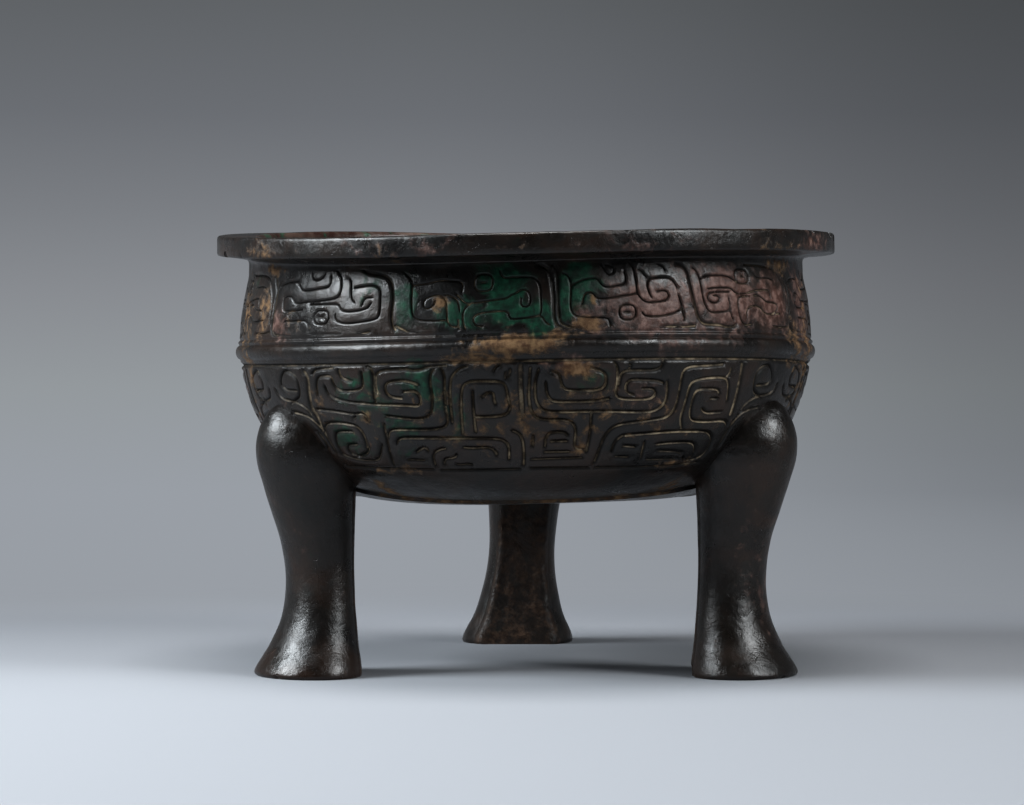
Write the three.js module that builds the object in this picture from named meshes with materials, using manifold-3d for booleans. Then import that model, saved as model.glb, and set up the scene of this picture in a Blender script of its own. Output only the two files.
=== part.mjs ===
// A bronze li tripod: a round bowl with a flat rim, two friezes of interlaced scrolls and three
// cabriole legs, all cast in one piece. Millimetres, +Z up, the front faces -Y, and the origin
// is on the ground under the bowl's axis. Azimuths are degrees from the front towards +X.

import * as THREE from "three";
import { mergeGeometries, mergeVertices } from "three/addons/utils/BufferGeometryUtils.js";
import Module from "manifold-3d";

const wasm = await Module();
wasm.setup();

// Heights, each level stacked on the one below it.
const baseHeight = 46.8;
const plainBaseRise = 9.7;
const lowerFriezeHeight = 28.7;
const filletBandHeight = 7.4;
const upperFriezeHeight = 17.8;
const neckHeight = 5.6;
const flangeRise = 1.4;
const rimThickness = 5.3;

// Radii and walls.
const bellyRadius = 81.4;
const upperFriezeProud = 0.2;
const neckInset = 2.3;
const flangeReach = 8.9;
const wall = 3.1;
const edgeRounding = 0.8;

// The bowl's lower profile is a superellipse with these two exponents.
const sideSwell = 1.5;
const baseSquareness = 5;

// The raised bowstring fillet.
const filletProud = 1.2;
const filletWidth = 3.8;

// The slack of a handmade mould: the rim plane drops at the front, and the wall is a saddle.
const rimTilt = 4.6;
const saddle = 1.1;

// Legs.
const legCount = 3;
const legFirstAzimuth = -60;
const legInset = 23.4;
const legDepth = 25.5;
const legHalfWidth = 14;
const kneeRise = 28.2;

// Frieze carving.
const upperGrooveHalfWidth = 0.62;
const upperGrooveDepth = 0.85;
const lowerGrooveHalfWidth = 0.72;
const lowerGrooveDepth = 1;
const grooveClearance = 0.4;
const eyeShare = 0.75;
const friezeMargin = 1.3;
const creaseHeight = 0.05;
const plateDepth = 3;
const rounding = 1e-4;

// The casting pad under the bowl.
const padProud = 0.8;
const padCornerOverlap = 2;
const padSideInset = 14;

// Facets.
const outerFacets = 42;
const innerFacets = 24;
const bowlSteps = 6;
const legFacets = 8;
const leastStep = 0.6;
const leastGap = 1;

// Levels worked out from the heights.
const lowerFriezeFoot = baseHeight + plainBaseRise;
const lowerFriezeTop = lowerFriezeFoot + lowerFriezeHeight;
const upperFriezeFoot = lowerFriezeTop + filletBandHeight;
const upperFriezeTop = upperFriezeFoot + upperFriezeHeight;
const neckTop = upperFriezeTop + neckHeight;
const rimUnderside = neckTop + flangeRise;
const rimTop = rimUnderside + rimThickness;
const shoulder = lowerFriezeTop + filletBandHeight * 0.2;
const filletLevel = lowerFriezeTop + filletBandHeight / 2;
const legHeight = baseHeight + kneeRise;
const sectorAngle = 360 / legCount;
const facetAngle = 360 / outerFacets;
const acrossPerDegree = THREE.MathUtils.degToRad(bellyRadius);

const upperFriezeFootRadius = bellyRadius + upperFriezeProud;
const neckRadius = bellyRadius - neckInset;
const rimRadius = neckRadius + flangeReach;
const legInnerReach = bellyRadius - legInset;
const padCornerReach = legInnerReach + padCornerOverlap;
const padSideReach = legInnerReach - padSideInset;

const radians = THREE.MathUtils.degToRad;
const smoothstep = THREE.MathUtils.smoothstep;

// Turns a closed three.js geometry into a solid.
function solidOf(geometry) {
  const bare = geometry.clone();
  bare.deleteAttribute("normal");
  bare.deleteAttribute("uv");
  const merged = mergeVertices(bare, 1e-4);
  return new wasm.Manifold(
    new wasm.Mesh({
      numProp: 3,
      vertProperties: merged.attributes.position.array,
      triVerts: new Uint32Array(merged.index.array),
    }),
  );
}

// A closed mesh from rows of vertices and triangles of indices.
function solidFromFaces(vertices, faces) {
  const geometry = new THREE.BufferGeometry();
  geometry.setAttribute("position", new THREE.Float32BufferAttribute(vertices.flat(), 3));
  geometry.setIndex(faces.flat());
  return solidOf(geometry);
}

// A profile of [radius, height] pairs turned about the vertical axis.
function turned(profile, facets) {
  const points = profile.map(([radius, height]) => new THREE.Vector2(radius, height));
  return solidOf(new THREE.LatheGeometry(points, facets).rotateX(Math.PI / 2));
}

// The superellipse from the middle of the base out to the shoulder.
function bowlProfile(radius, floorHeight, steps) {
  const depth = shoulder - floorHeight;
  return Array.from({ length: steps + 1 }, (_, i) => {
    const angle = ((Math.PI / 2) * i) / steps;
    return [
      radius * Math.sin(angle) ** (2 / baseSquareness),
      shoulder - depth * Math.max(0, Math.cos(angle)) ** (2 / sideSwell),
    ];
  });
}

const outerBowl = bowlProfile(bellyRadius, baseHeight, bowlSteps);
const outerWall = [
  ...outerBowl,
  [bellyRadius, filletLevel - filletWidth / 2],
  [bellyRadius + filletProud, filletLevel],
  [upperFriezeFootRadius + upperFriezeProud, filletLevel + filletWidth / 2],
  [upperFriezeFootRadius + upperFriezeProud, upperFriezeFoot - edgeRounding],
  [upperFriezeFootRadius, upperFriezeFoot],
  [(upperFriezeFootRadius * 2 + neckRadius * 3) / 5 + 0.4, upperFriezeFoot + upperFriezeHeight * 0.65],
  [neckRadius, upperFriezeTop],
  [neckRadius, neckTop],
];
const rimProfile = [
  [rimRadius - edgeRounding, rimUnderside - 0.2],
  [rimRadius, rimUnderside + edgeRounding],
  [rimRadius, rimTop - edgeRounding],
  [rimRadius - edgeRounding, rimTop],
];
const mouthRadius = neckRadius - wall;
const cavityProfile = [
  ...bowlProfile(bellyRadius - wall, baseHeight + wall, bowlSteps),
  [upperFriezeFootRadius - wall, upperFriezeFoot],
  [mouthRadius, upperFriezeTop],
  [mouthRadius, rimTop - edgeRounding],
  [mouthRadius + edgeRounding, rimTop],
  [mouthRadius + edgeRounding + 1, rimTop + 1],
  [0, rimTop + 1],
];

// The carved stretch of the wall runs between these levels of its profile.
const carvedFrom = 2;
const carvedTo = outerWall.length - 2;
const wallLevels = outerWall.slice(carvedFrom, carvedTo + 1).map(([, level]) => level);

// The wall's radius at a height, before carving.
function wallRadius(height) {
  const above = outerWall.findIndex(([, level]) => level >= height);
  const [r0, z0] = outerWall[Math.max(0, above - 1)];
  const [r1, z1] = outerWall[Math.max(1, above)];
  return r0 + ((r1 - r0) * (height - z0)) / Math.max(z1 - z0, 1e-6);
}

// How far a facet's face lies inside the circle through its corners, as a share of the radius.
function facetShare(azimuth) {
  const column = Math.round(azimuth / facetAngle) * facetAngle;
  const fromMiddle = facetAngle / 2 - Math.abs(azimuth - column);
  return Math.cos(radians(facetAngle / 2)) / Math.cos(radians(fromMiddle));
}

// A small zigzag over the unrolled wall, flat within each cell between two columns and two
// levels and creased at its edges, so that a cut keeps those edges and splits nothing else.
function crease(azimuth, height) {
  const column = azimuth / facetAngle;
  const acrossShare = Math.abs(column - 2 * Math.round(column / 2));
  const cell = Math.max(1, wallLevels.findIndex((level) => level >= height));
  const upShare = (height - wallLevels[cell - 1]) / (wallLevels[cell] - wallLevels[cell - 1]);
  return creaseHeight * (acrossShare + (cell % 2 === 0 ? upShare : 1 - upShare));
}

// A point of the unrolled wall: across, up and out from the wall's surface.
function unrolled(azimuth, height, out) {
  return [azimuth * acrossPerDegree, height, out + crease(azimuth, height)];
}

// A point by its radius, azimuth and height.
function turnedPoint(radius, azimuth, height) {
  const angle = radians(azimuth);
  return [radius * Math.sin(angle), -radius * Math.cos(angle), height];
}

// A value set exactly on a mark that it lies on but for rounding.
function snapped(value, mark) {
  return Math.abs(value - mark) < rounding ? mark : value;
}

// An unrolled point on the real wall.
function rolled(across, height, out) {
  const near = across / acrossPerDegree;
  const azimuth = snapped(near, Math.round(near / facetAngle) * facetAngle);
  const level = wallLevels.reduce(snapped, height);
  const proud = snapped(out - crease(azimuth, level), 0);
  return turnedPoint((wallRadius(level) + proud) * facetShare(azimuth), azimuth, level);
}

// A corner moved onto a column or level of the facets where it would lie almost on one.
function settled([azimuth, height]) {
  const column = Math.round(azimuth / facetAngle) * facetAngle;
  const level = wallLevels.find((mark) => Math.abs(mark - height) < leastGap);
  return [Math.abs(azimuth - column) * acrossPerDegree < leastGap ? column : azimuth, level ?? height];
}

// The path with a point added wherever it crosses a column or a level of the wall's facets.
// The third number says which: 0 for the path's own corner, 1 for a column, 2 for a level.
function conformed(path, closed) {
  const result = [];
  const corners = closed ? [...path, path[0]] : path;
  for (let i = 0; i < corners.length - 1; i += 1) {
    const [a0, h0] = corners[i];
    const [a1, h1] = corners[i + 1];
    const length = Math.hypot((a1 - a0) * acrossPerDegree, h1 - h0);
    const crossings = wallLevels.map((level) => [(level - h0) / (h1 - h0), 2]);
    for (let k = Math.ceil(Math.min(a0, a1) / facetAngle); k * facetAngle < Math.max(a0, a1); k += 1) {
      crossings.push([(k * facetAngle - a0) / (a1 - a0), 1]);
    }
    const margin = leastStep / length;
    const inside = crossings.filter(([t]) => t > margin && t < 1 - margin).sort((s, t) => s[0] - t[0]);
    const kept = inside.filter(([t], k) => k === 0 || t - inside[k - 1][0] > margin);
    result.push([a0, h0, 0]);
    result.push(...kept.map(([t, kind]) => [a0 + (a1 - a0) * t, h0 + (h1 - h0) * t, kind]));
  }
  return closed ? result : [...result, [...path[path.length - 1], 0]];
}

// Half a groove's mouth at one point of its path, to the left: square to the path or mitred at a
// corner, and along the facets' edge where the path crosses one.
function mouthSide(into, out, kind, reach) {
  if (kind === 1 && Math.abs(out[0]) > 0.5) return [0, reach / out[0]];
  if (kind === 2 && Math.abs(out[1]) > 0.5) return [-reach / out[1], 0];
  const mitre = Math.max(0.5, 1 + into[0] * out[0] + into[1] * out[1]);
  return [(-(into[1] + out[1]) / mitre) * reach, ((into[0] + out[0]) / mitre) * reach];
}

// A V groove along a path of [azimuth, height] points, as a cutter for the unrolled wall.
function groove(corners, halfWidth, depth, closed) {
  const path = conformed(corners.map(settled), closed);
  const count = path.length;
  const heading = (i, j) => {
    const across = (path[j][0] - path[i][0]) * acrossPerDegree;
    const up = path[j][1] - path[i][1];
    return [across / Math.hypot(across, up), up / Math.hypot(across, up)];
  };
  const reach = (halfWidth * (depth + grooveClearance)) / depth;
  const vertices = [];
  for (let i = 0; i < count; i += 1) {
    const atStart = !closed && i === 0;
    const atEnd = !closed && i === count - 1;
    const before = (i + count - 1) % count;
    const after = (i + 1) % count;
    const into = atStart ? heading(i, after) : heading(before, i);
    const out = atEnd ? heading(before, i) : heading(i, after);
    const [azimuth, height, kind] = path[i];
    const side = mouthSide(into, out, kind, reach);
    const turn = side[0] / acrossPerDegree;
    vertices.push(unrolled(azimuth + turn, height + side[1], grooveClearance));
    vertices.push(unrolled(azimuth, height, -depth));
    vertices.push(unrolled(azimuth - turn, height - side[1], grooveClearance));
  }
  const faces = [];
  for (let i = 0; i < (closed ? count : count - 1); i += 1) {
    const here = 3 * i;
    const next = 3 * ((i + 1) % count);
    for (let k = 0; k < 3; k += 1) {
      const other = (k + 1) % 3;
      faces.push([here + k, next + k, here + other], [here + other, next + k, next + other]);
    }
  }
  if (!closed) {
    const last = 3 * (count - 1);
    faces.push([0, 1, 2], [last, last + 2, last + 1]);
  }
  return solidFromFaces(vertices, faces);
}

// The unrolled wall as a plate, with its top on the wall's surface.
function unrolledPlate() {
  const vertices = [];
  const faces = [];
  const columns = outerFacets + 1;
  const index = (level, column, under) => 2 * (level * columns + column) + under;
  wallLevels.forEach((height) => {
    for (let column = 0; column < columns; column += 1) {
      const azimuth = column * facetAngle - 180;
      vertices.push(unrolled(azimuth, height, 0));
      vertices.push([azimuth * acrossPerDegree, height, -plateDepth]);
    }
  });
  const quad = (a, b, c, d) => faces.push([a, b, c], [a, c, d]);
  for (let i = 0; i < wallLevels.length - 1; i += 1) {
    for (let k = 0; k < outerFacets; k += 1) {
      quad(index(i, k, 0), index(i, k + 1, 0), index(i + 1, k + 1, 0), index(i + 1, k, 0));
      quad(index(i, k, 1), index(i + 1, k, 1), index(i + 1, k + 1, 1), index(i, k + 1, 1));
    }
    quad(index(i, 0, 0), index(i + 1, 0, 0), index(i + 1, 0, 1), index(i, 0, 1));
    quad(
      index(i, outerFacets, 0),
      index(i, outerFacets, 1),
      index(i + 1, outerFacets, 1),
      index(i + 1, outerFacets, 0),
    );
  }
  const top = wallLevels.length - 1;
  for (let k = 0; k < outerFacets; k += 1) {
    quad(index(0, k, 0), index(0, k, 1), index(0, k + 1, 1), index(0, k + 1, 0));
    quad(index(top, k, 0), index(top, k + 1, 0), index(top, k + 1, 1), index(top, k, 1));
  }
  return solidFromFaces(vertices, faces);
}

// The carved wall rolled up again: the plate less the carving, without its back and edges.
function carvedWall(cuts) {
  const plate = unrolledPlate().subtract(wasm.Manifold.union(cuts)).getMesh();
  const at = (i) => Array.from(plate.vertProperties.slice(3 * i, 3 * i + 3));
  const limit = 180 * acrossPerDegree;
  const ends = [
    ([across]) => across < -limit + 1e-3,
    ([across]) => across > limit - 1e-3,
    ([, height]) => height < wallLevels[0] + 1e-3,
    ([, height]) => height > wallLevels[wallLevels.length - 1] - 1e-3,
    ([, , out]) => out < 1e-3 - plateDepth,
  ];
  const vertices = [];
  for (let i = 0; i < plate.triVerts.length; i += 3) {
    const triangle = [0, 1, 2].map((k) => at(plate.triVerts[i + k]));
    if (!ends.some((onEnd) => triangle.every(onEnd))) {
      vertices.push(...triangle.map((point) => rolled(...point)));
    }
  }
  const geometry = new THREE.BufferGeometry();
  geometry.setAttribute("position", new THREE.Float32BufferAttribute(vertices.flat(), 3));
  return geometry;
}

// An open surface of a profile turned about the axis, as loose triangles.
function turnedSurface(profile) {
  const vertices = [];
  const half = outerFacets / 2;
  for (let i = 0; i < profile.length - 1; i += 1) {
    for (let column = -half; column < half; column += 1) {
      const [a, b, c, d] = [[0, 0], [0, 1], [1, 1], [1, 0]].map(([up, along]) =>
        turnedPoint(profile[i + up][0], (column + along) * facetAngle, profile[i + up][1]),
      );
      if (profile[i][0] > 0) vertices.push(a, b, c);
      if (profile[i + 1][0] > 0) vertices.push(a, c, d);
    }
  }
  const surface = new THREE.BufferGeometry();
  surface.setAttribute("position", new THREE.Float32BufferAttribute(vertices.flat(), 3));
  return surface;
}

// A scroll's path from a start point and runs that turn a right angle each time, in degrees
// across and millimetres up.
function scroll(azimuth, height, acrossFirst, runs) {
  const corners = [[azimuth, height]];
  runs.forEach((run, i) => {
    const [a, h] = corners[corners.length - 1];
    const across = (i % 2 === 0) === acrossFirst;
    corners.push(across ? [a + run, h] : [a, h + run]);
  });
  return corners;
}

// One unit of the upper frieze, drawn on a grid that stretches to the unit's angle and to the
// frieze's height: a dragon's body folded in a meander, with a curled head and a ringed eye.
const upperGrid = { across: 30, up: 17.8 };
const upperUnit = [
  scroll(2.4, 15, false, [-11.2, 8.2, -1.6]),
  scroll(5.4, 13.4, true, [4.4, -1.8, 5, 3.4]),
  scroll(8.2, 7.4, true, [-3.2, 3.6, 2.6, -1.6, 10.4, 6.8]),
  scroll(20.6, 15.4, false, [-8.6, 4.2]),
  scroll(22.8, 13.2, true, [4.6, -9.2, -9.8, 2.4]),
  scroll(22.4, 16.2, true, [5.8]),
];
const upperEye = { azimuth: 13.4, height: 5.4, halfAngle: 1.8, halfHeight: 1.8 };
const upperUnitEdges = [-57.2, -26, 4.5, 33, 59.2];

// One unit of the lower frieze, drawn on a grid in the same way.
const lowerGrid = { across: 46.5, up: 28.7 };
const lowerUnitAngle = 46.5;
const lowerUnitStarts = [-46.8, 0];
const lowerUnit = [
  scroll(4.3, 23.4, false, [-5, 21.4, 2.7, -3.2]),
  scroll(11.6, 26.2, true, [3, -4.8, -7.8, 4.8, -4.8, -10.7, 25.6, 8.1, -8.2, -3]),
  scroll(17.1, 20.4, false, [7]),
  scroll(30.2, 26.8, false, [-13.9, -14.5, -10.1]),
  scroll(12.8, 13, false, [-9.8]),
  scroll(2, 6, false, [7.2, 8.2, -7.6]),
  scroll(32.3, 12.6, false, [11.1, 10.6, -6.6]),
  scroll(40.2, 20.9, true, [-5.9, -8.3, 10.6]),
  scroll(36.5, 18.4, false, [-2.8, 4.8]),
  scroll(18.5, 4, false, [6.1, 25.3, -7.6, -5.4]),
  scroll(22, 6.8, true, [18.2, -2]),
];
const lowerDot = { azimuth: 39.2, height: 18.2, halfAngle: 1, halfHeight: 1 };

// The carving that flanks a leg, in degrees from its axis and up the lower frieze's grid, on the
// right-hand side. The left-hand side mirrors it.
const legFlank = [
  scroll(5.6, 19.2, true, [4.6, 7.2, -5.2, -4, 2.8]),
  scroll(13.2, 4.2, false, [7.8, -2.2, 3.4, -3.6]),
  scroll(13.2, 14.4, false, [12.6]),
];

// A unit's path at its place, and turned half about in the unit if it is the reversed one.
function placed(path, grid, start, angle, foot, height, reversed) {
  return path.map(([a, h]) => {
    const across = reversed ? grid.across - a : a;
    const up = reversed ? grid.up - h : h;
    return [start + (across * angle) / grid.across, foot + (up * height) / grid.up];
  });
}

// A small rectangle, for eyes and dots.
function ring({ azimuth, height, halfAngle, halfHeight }) {
  return [
    [azimuth - halfAngle, height - halfHeight],
    [azimuth + halfAngle, height - halfHeight],
    [azimuth + halfAngle, height + halfHeight],
    [azimuth - halfAngle, height + halfHeight],
  ];
}

function upperFrieze(sector) {
  const cuts = [];
  for (let unit = 0; unit < upperUnitEdges.length - 1; unit += 1) {
    const start = upperUnitEdges[unit];
    const angle = upperUnitEdges[unit + 1] - start;
    const reversed = unit % 2 === 1;
    const put = (path) =>
      placed(path, upperGrid, sector + start, angle, upperFriezeFoot, upperFriezeHeight, reversed);
    for (const path of upperUnit) {
      cuts.push(groove(put(path), upperGrooveHalfWidth, upperGrooveDepth, false));
    }
    cuts.push(groove(put(ring(upperEye)), upperGrooveHalfWidth * eyeShare, upperGrooveDepth, true));
  }
  for (const edge of upperUnitEdges) {
    const ends = [upperFriezeFoot + friezeMargin, upperFriezeTop - friezeMargin];
    const divider = ends.map((height) => [sector + edge, height]);
    cuts.push(groove(divider, upperGrooveHalfWidth, upperGrooveDepth, false));
  }
  return cuts;
}

function lowerFrieze(sector) {
  const cuts = [];
  for (const start of lowerUnitStarts) {
    const put = (path) =>
      placed(path, lowerGrid, sector + start, lowerUnitAngle, lowerFriezeFoot, lowerFriezeHeight, false);
    for (const path of lowerUnit) {
      cuts.push(groove(put(path), lowerGrooveHalfWidth, lowerGrooveDepth, false));
    }
    cuts.push(groove(put(ring(lowerDot)), lowerGrooveHalfWidth * eyeShare, lowerGrooveDepth, true));
  }
  const seam = [lowerFriezeFoot + 2 * friezeMargin, lowerFriezeTop - friezeMargin].map((h) => [sector, h]);
  cuts.push(groove(seam, upperGrooveHalfWidth, upperGrooveDepth, false));
  for (const side of [-1, 1]) {
    for (const path of legFlank) {
      const rise = lowerFriezeHeight / lowerGrid.up;
      const flank = path.map(([a, h]) => [sector + side * (sectorAngle / 2 - a), lowerFriezeFoot + h * rise]);
      cuts.push(groove(flank, lowerGrooveHalfWidth, lowerGrooveDepth, false));
    }
  }
  return cuts;
}

// A leg's stations: shares of its height, of its depth outwards and of its half width.
const legStations = [
  [0, 0.94, 1.14],
  [0.016, 0.99, 1.23],
  [0.06, 0.91, 1.14],
  [0.1, 0.835, 1.03],
  [0.135, 0.785, 0.955],
  [0.19, 0.71, 0.88],
  [0.27, 0.655, 0.785],
  [0.37, 0.65, 0.73],
  [0.49, 0.705, 0.75],
  [0.6, 0.82, 0.815],
  [0.7, 0.92, 0.91],
  [0.8, 1, 1],
  [0.88, 0.99, 0.94],
  [0.94, 0.925, 0.76],
  [0.985, 0.84, 0.45],
];
const chordShare = 0.62;

// One leg: a rounded front and a flat inner face, its section an ellipse cut by a chord.
function leg(azimuth) {
  const vertices = [];
  const cutAngle = Math.PI - Math.asin(chordShare);
  for (const [heightShare, depthShare, widthShare] of legStations) {
    const depth = legDepth * depthShare;
    const semiDepth = depth / (1 - Math.cos(cutAngle));
    for (let i = 0; i <= legFacets; i += 1) {
      const turn = cutAngle * ((2 * i) / legFacets - 1);
      const out = legInnerReach + semiDepth * (Math.cos(turn) - Math.cos(cutAngle));
      const across = legHalfWidth * widthShare * Math.sin(turn);
      const angle = radians(azimuth);
      vertices.push([
        out * Math.sin(angle) + across * Math.cos(angle),
        -out * Math.cos(angle) + across * Math.sin(angle),
        legHeight * heightShare,
      ]);
    }
  }
  const row = legFacets + 1;
  const faces = [];
  for (let level = 0; level < legStations.length - 1; level += 1) {
    for (let i = 0; i < row; i += 1) {
      const a = level * row + i;
      const b = level * row + ((i + 1) % row);
      faces.push([a, b, a + row], [b, b + row, a + row]);
    }
  }
  const top = (legStations.length - 1) * row;
  for (let i = 1; i < row - 1; i += 1) {
    faces.push([0, i + 1, i], [top, top + i, top + i + 1]);
  }
  return solidFromFaces(vertices, faces);
}

// The casting pad under the bowl: a bowed triangle with its corners towards the legs.
function castingPad() {
  const corner = (i) => {
    const angle = radians(legFirstAzimuth + sectorAngle * i);
    return [padCornerReach * Math.sin(angle), -padCornerReach * Math.cos(angle)];
  };
  const outline = new THREE.Shape();
  outline.moveTo(...corner(0));
  for (let i = 0; i < legCount; i += 1) {
    const middle = radians(legFirstAzimuth + sectorAngle * (i + 0.5));
    const pull = 2 * padSideReach - padCornerReach * Math.cos(radians(sectorAngle / 2));
    outline.quadraticCurveTo(pull * Math.sin(middle), -pull * Math.cos(middle), ...corner(i + 1));
  }
  const prism = new THREE.ExtrudeGeometry(outline, {
    depth: plainBaseRise + 2 * padProud,
    bevelEnabled: false,
    curveSegments: 6,
  }).translate(0, 0, baseHeight - 2 * padProud);
  const lowered = [...outerBowl, [0, shoulder]].map(([r, z]) => [r, z - padProud]);
  return solidOf(prism).intersect(turned(lowered, outerFacets));
}

// Small losses at edges: where, how big, and how the breaking block is turned.
const losses = [
  { azimuth: -20.5, reach: rimRadius + 0.6, height: rimTop + 0.9, size: 3.4, turn: 40 },
  { azimuth: 57, reach: rimRadius + 1, height: rimTop + 1, size: 4.4, turn: 25 },
  { azimuth: 74, reach: rimRadius + 1.2, height: rimTop + 0.8, size: 5, turn: 50 },
  { azimuth: -71, reach: rimRadius + 1, height: rimUnderside - 0.8, size: 4, turn: 30 },
  { azimuth: 46.5, reach: legInnerReach + 0.5, height: 0.6, size: 6.5, turn: 35 },
  { azimuth: -48, reach: legInnerReach - 0.2, height: -0.6, size: 4, turn: 60 },
];

function loss({ azimuth, reach, height, size, turn }) {
  const angle = radians(azimuth);
  const block = new THREE.BoxGeometry(size, size, size)
    .rotateX(radians(turn))
    .rotateY(radians(turn * 0.7))
    .translate(reach * Math.sin(angle), -reach * Math.cos(angle), height);
  return solidOf(block);
}

// Moves the finished casting's vertices as the worn mould left them.
function warped(geometry) {
  const position = geometry.attributes.position;
  const azimuthLimit = { sides: radians(70), back: radians(150) };
  for (let i = 0; i < position.count; i += 1) {
    const x = position.getX(i);
    const y = position.getY(i);
    const z = position.getZ(i);
    const angle = Math.atan2(x, -y);
    const behind = smoothstep(Math.abs(angle), azimuthLimit.sides, azimuthLimit.back);
    const start = upperFriezeTop - behind * (upperFriezeTop - upperFriezeFoot);
    const share = Math.min(1, Math.max(0, (z - start) / (neckTop - start)));
    const drop = -rimTilt * Math.cos(angle) * share;
    const sag = saddle * Math.sin(2 * angle) * (z / upperFriezeTop);
    position.setZ(i, z + (Math.hypot(x, y) > 1 ? drop + sag : 0));
  }
  return geometry;
}

const sectors = Array.from({ length: legCount }, (_, i) => i * sectorAngle - (180 - sectorAngle / 2));
const cuts = sectors.flatMap((sector) => [...upperFrieze(sector), ...lowerFrieze(sector)]);
const shell = solidOf(
  mergeGeometries([
    turnedSurface(outerWall.slice(0, carvedFrom + 1)),
    carvedWall(cuts),
    turnedSurface([...outerWall.slice(carvedTo), ...rimProfile, [0, rimTop]]),
  ]),
);
const legs = sectors.map((sector) => leg(sector + sectorAngle / 2));
const cast = wasm.Manifold.union([shell, castingPad(), ...legs])
  .subtract(turned(cavityProfile, innerFacets))
  .subtract(wasm.Manifold.union(losses.map(loss)));

const mesh = cast.getMesh();
const geometry = new THREE.BufferGeometry();
geometry.setAttribute("position", new THREE.Float32BufferAttribute(mesh.vertProperties, 3));
geometry.setIndex(Array.from(mesh.triVerts));

const bronze = new THREE.MeshStandardMaterial({ color: 0x3b342c, roughness: 0.42, metalness: 0.85 });
const vessel = new THREE.Mesh(warped(geometry), bronze);
vessel.name = "tripod_vessel";

const tripod = new THREE.Group();
tripod.add(vessel);

export default tripod;
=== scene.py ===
"""A bronze li tripod: a round bowl with a flat rim, two friezes of interlaced scrolls, a raised
fillet and three cabriole legs. Lengths are millimetres until a mesh is made, +Z up, the front
faces -Y, and azimuths are degrees from the front towards +X."""
import math
from collections import namedtuple
from functools import partialmethod

import bmesh
import bpy
import numpy as np
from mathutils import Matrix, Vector, noise
from mathutils.geometry import delaunay_2d_cdt
from mathutils.kdtree import KDTree


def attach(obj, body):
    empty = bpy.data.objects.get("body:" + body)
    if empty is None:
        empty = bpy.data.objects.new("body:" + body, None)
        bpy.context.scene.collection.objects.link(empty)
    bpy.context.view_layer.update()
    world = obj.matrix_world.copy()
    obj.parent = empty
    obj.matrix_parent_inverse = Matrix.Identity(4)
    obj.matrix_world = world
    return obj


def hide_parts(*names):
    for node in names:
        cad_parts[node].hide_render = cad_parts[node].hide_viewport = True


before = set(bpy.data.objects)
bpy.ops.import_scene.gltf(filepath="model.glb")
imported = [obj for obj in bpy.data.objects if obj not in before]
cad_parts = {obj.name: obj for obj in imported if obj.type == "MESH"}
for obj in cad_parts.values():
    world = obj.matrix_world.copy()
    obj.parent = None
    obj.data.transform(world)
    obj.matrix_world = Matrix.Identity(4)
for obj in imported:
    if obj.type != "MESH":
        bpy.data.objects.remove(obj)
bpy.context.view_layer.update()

NODE = "tripod_vessel"
MM = 0.001

# Levels, radii and shares of the casting.
BASE = 46.8
FRIEZE_HIGH = (92.6, 110.4)
NECK_TOP = 116.0
RIM_TOP = 122.7
SHOULDER = 86.68
BELLY = 81.4
RIM = 88.0
NECK = 79.1
WALL = 3.1
SWELL = 2 / 1.5
SQUARENESS = 2 / 5
RIM_TILT = 4.6
SADDLE = 1.1
BACK_LEG_LEAN = 2.2
SECTORS = (-120, 0, 120)
SECTOR_EDGE = 60
LEG_AXES = (-60, 60, 180)

# The fillet's bead, and the raised and the sunk line over it: level, reach and how far each stands out.
FILLET_LEVEL = 88.85
FILLET_PROUD = 1.2
FILLET_HALF = 1.9
FILLET_LINES = [(91.7, 0.4, 0.35), (92.5, 0.35, -0.25)]

# The plain wall over the shoulder.
WALL_LEVELS = [SHOULDER, 91.0, 92.6, 98.5, 104.2, 108, 110.4, NECK_TOP]
WALL_RADII = [BELLY, 81.7, 81.7, 81.35, 80.55, 79.75, 79.15, NECK]

# The rim from the neck outwards and back over its top, and the cavity upwards: radius and height.
RIM_ROWS = [
    (NECK + 0.05, 112.2), (NECK, 113.4), (NECK, 114.6), (NECK + 0.15, 115.4), (NECK + 0.7, 115.95),
    (NECK + 2, 116.25), (83.5, 116.6), (86, 116.85), (87.3, 116.95), (87.8, 117.15), (RIM, 117.6),
    (RIM, 118.9), (RIM, 120.2), (RIM, 121.6), (87.9, 122.15), (87.6, 122.5), (86.8, 122.65),
    (84, RIM_TOP), (81, RIM_TOP), (78, RIM_TOP), (70, RIM_TOP),
]
MOUTH = NECK - WALL
CAVITY_TOP = 123.4
CAVITY_ROWS = [
    (78.2, 92), (77.9, 98), (77.2, 104), (76.4, 110), (MOUTH, 114), (MOUTH, 118), (MOUTH, 121.2),
    (MOUTH + 0.2, 121.9), (MOUTH + 0.7, 122.45), (MOUTH + 1.5, 122.72), (MOUTH + 2.4, CAVITY_TOP),
]

# The carved bands and the parts of them where the grooves are coloured.
BAND_LOW = (55.2, 86.3)
BAND_HIGH = (93.0, 111.2)
COLOURED_LOW = (55.5, 86.2)
COLOURED_HIGH = (93.2, 111)

# A groove's half width and depth, and how far the ribbons' edges drop by it and over what distance.
Groove = namedtuple("Groove", "half depth drop spread")
GROOVE_HIGH = Groove(half=0.3, depth=0.6, drop=0.05, spread=0.5)
GROOVE_LOW = Groove(half=0.5, depth=0.85, drop=0.16, spread=0.7)
# Where a groove's floor ends and where its side ends, in half widths.
GROOVE_FLOOR = 0.3
GROOVE_EDGE = 1.2

# How finely the surface is divided, in millimetres apart from the count of columns.
COLUMNS = 360
STROKE_STEP = 0.95
FILL_STEP = 1.15
LEAST_GAP = 0.22
SAMPLE_STEP = 0.25
SEAM_STEP = 0.8
HAIR = 0.012
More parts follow.
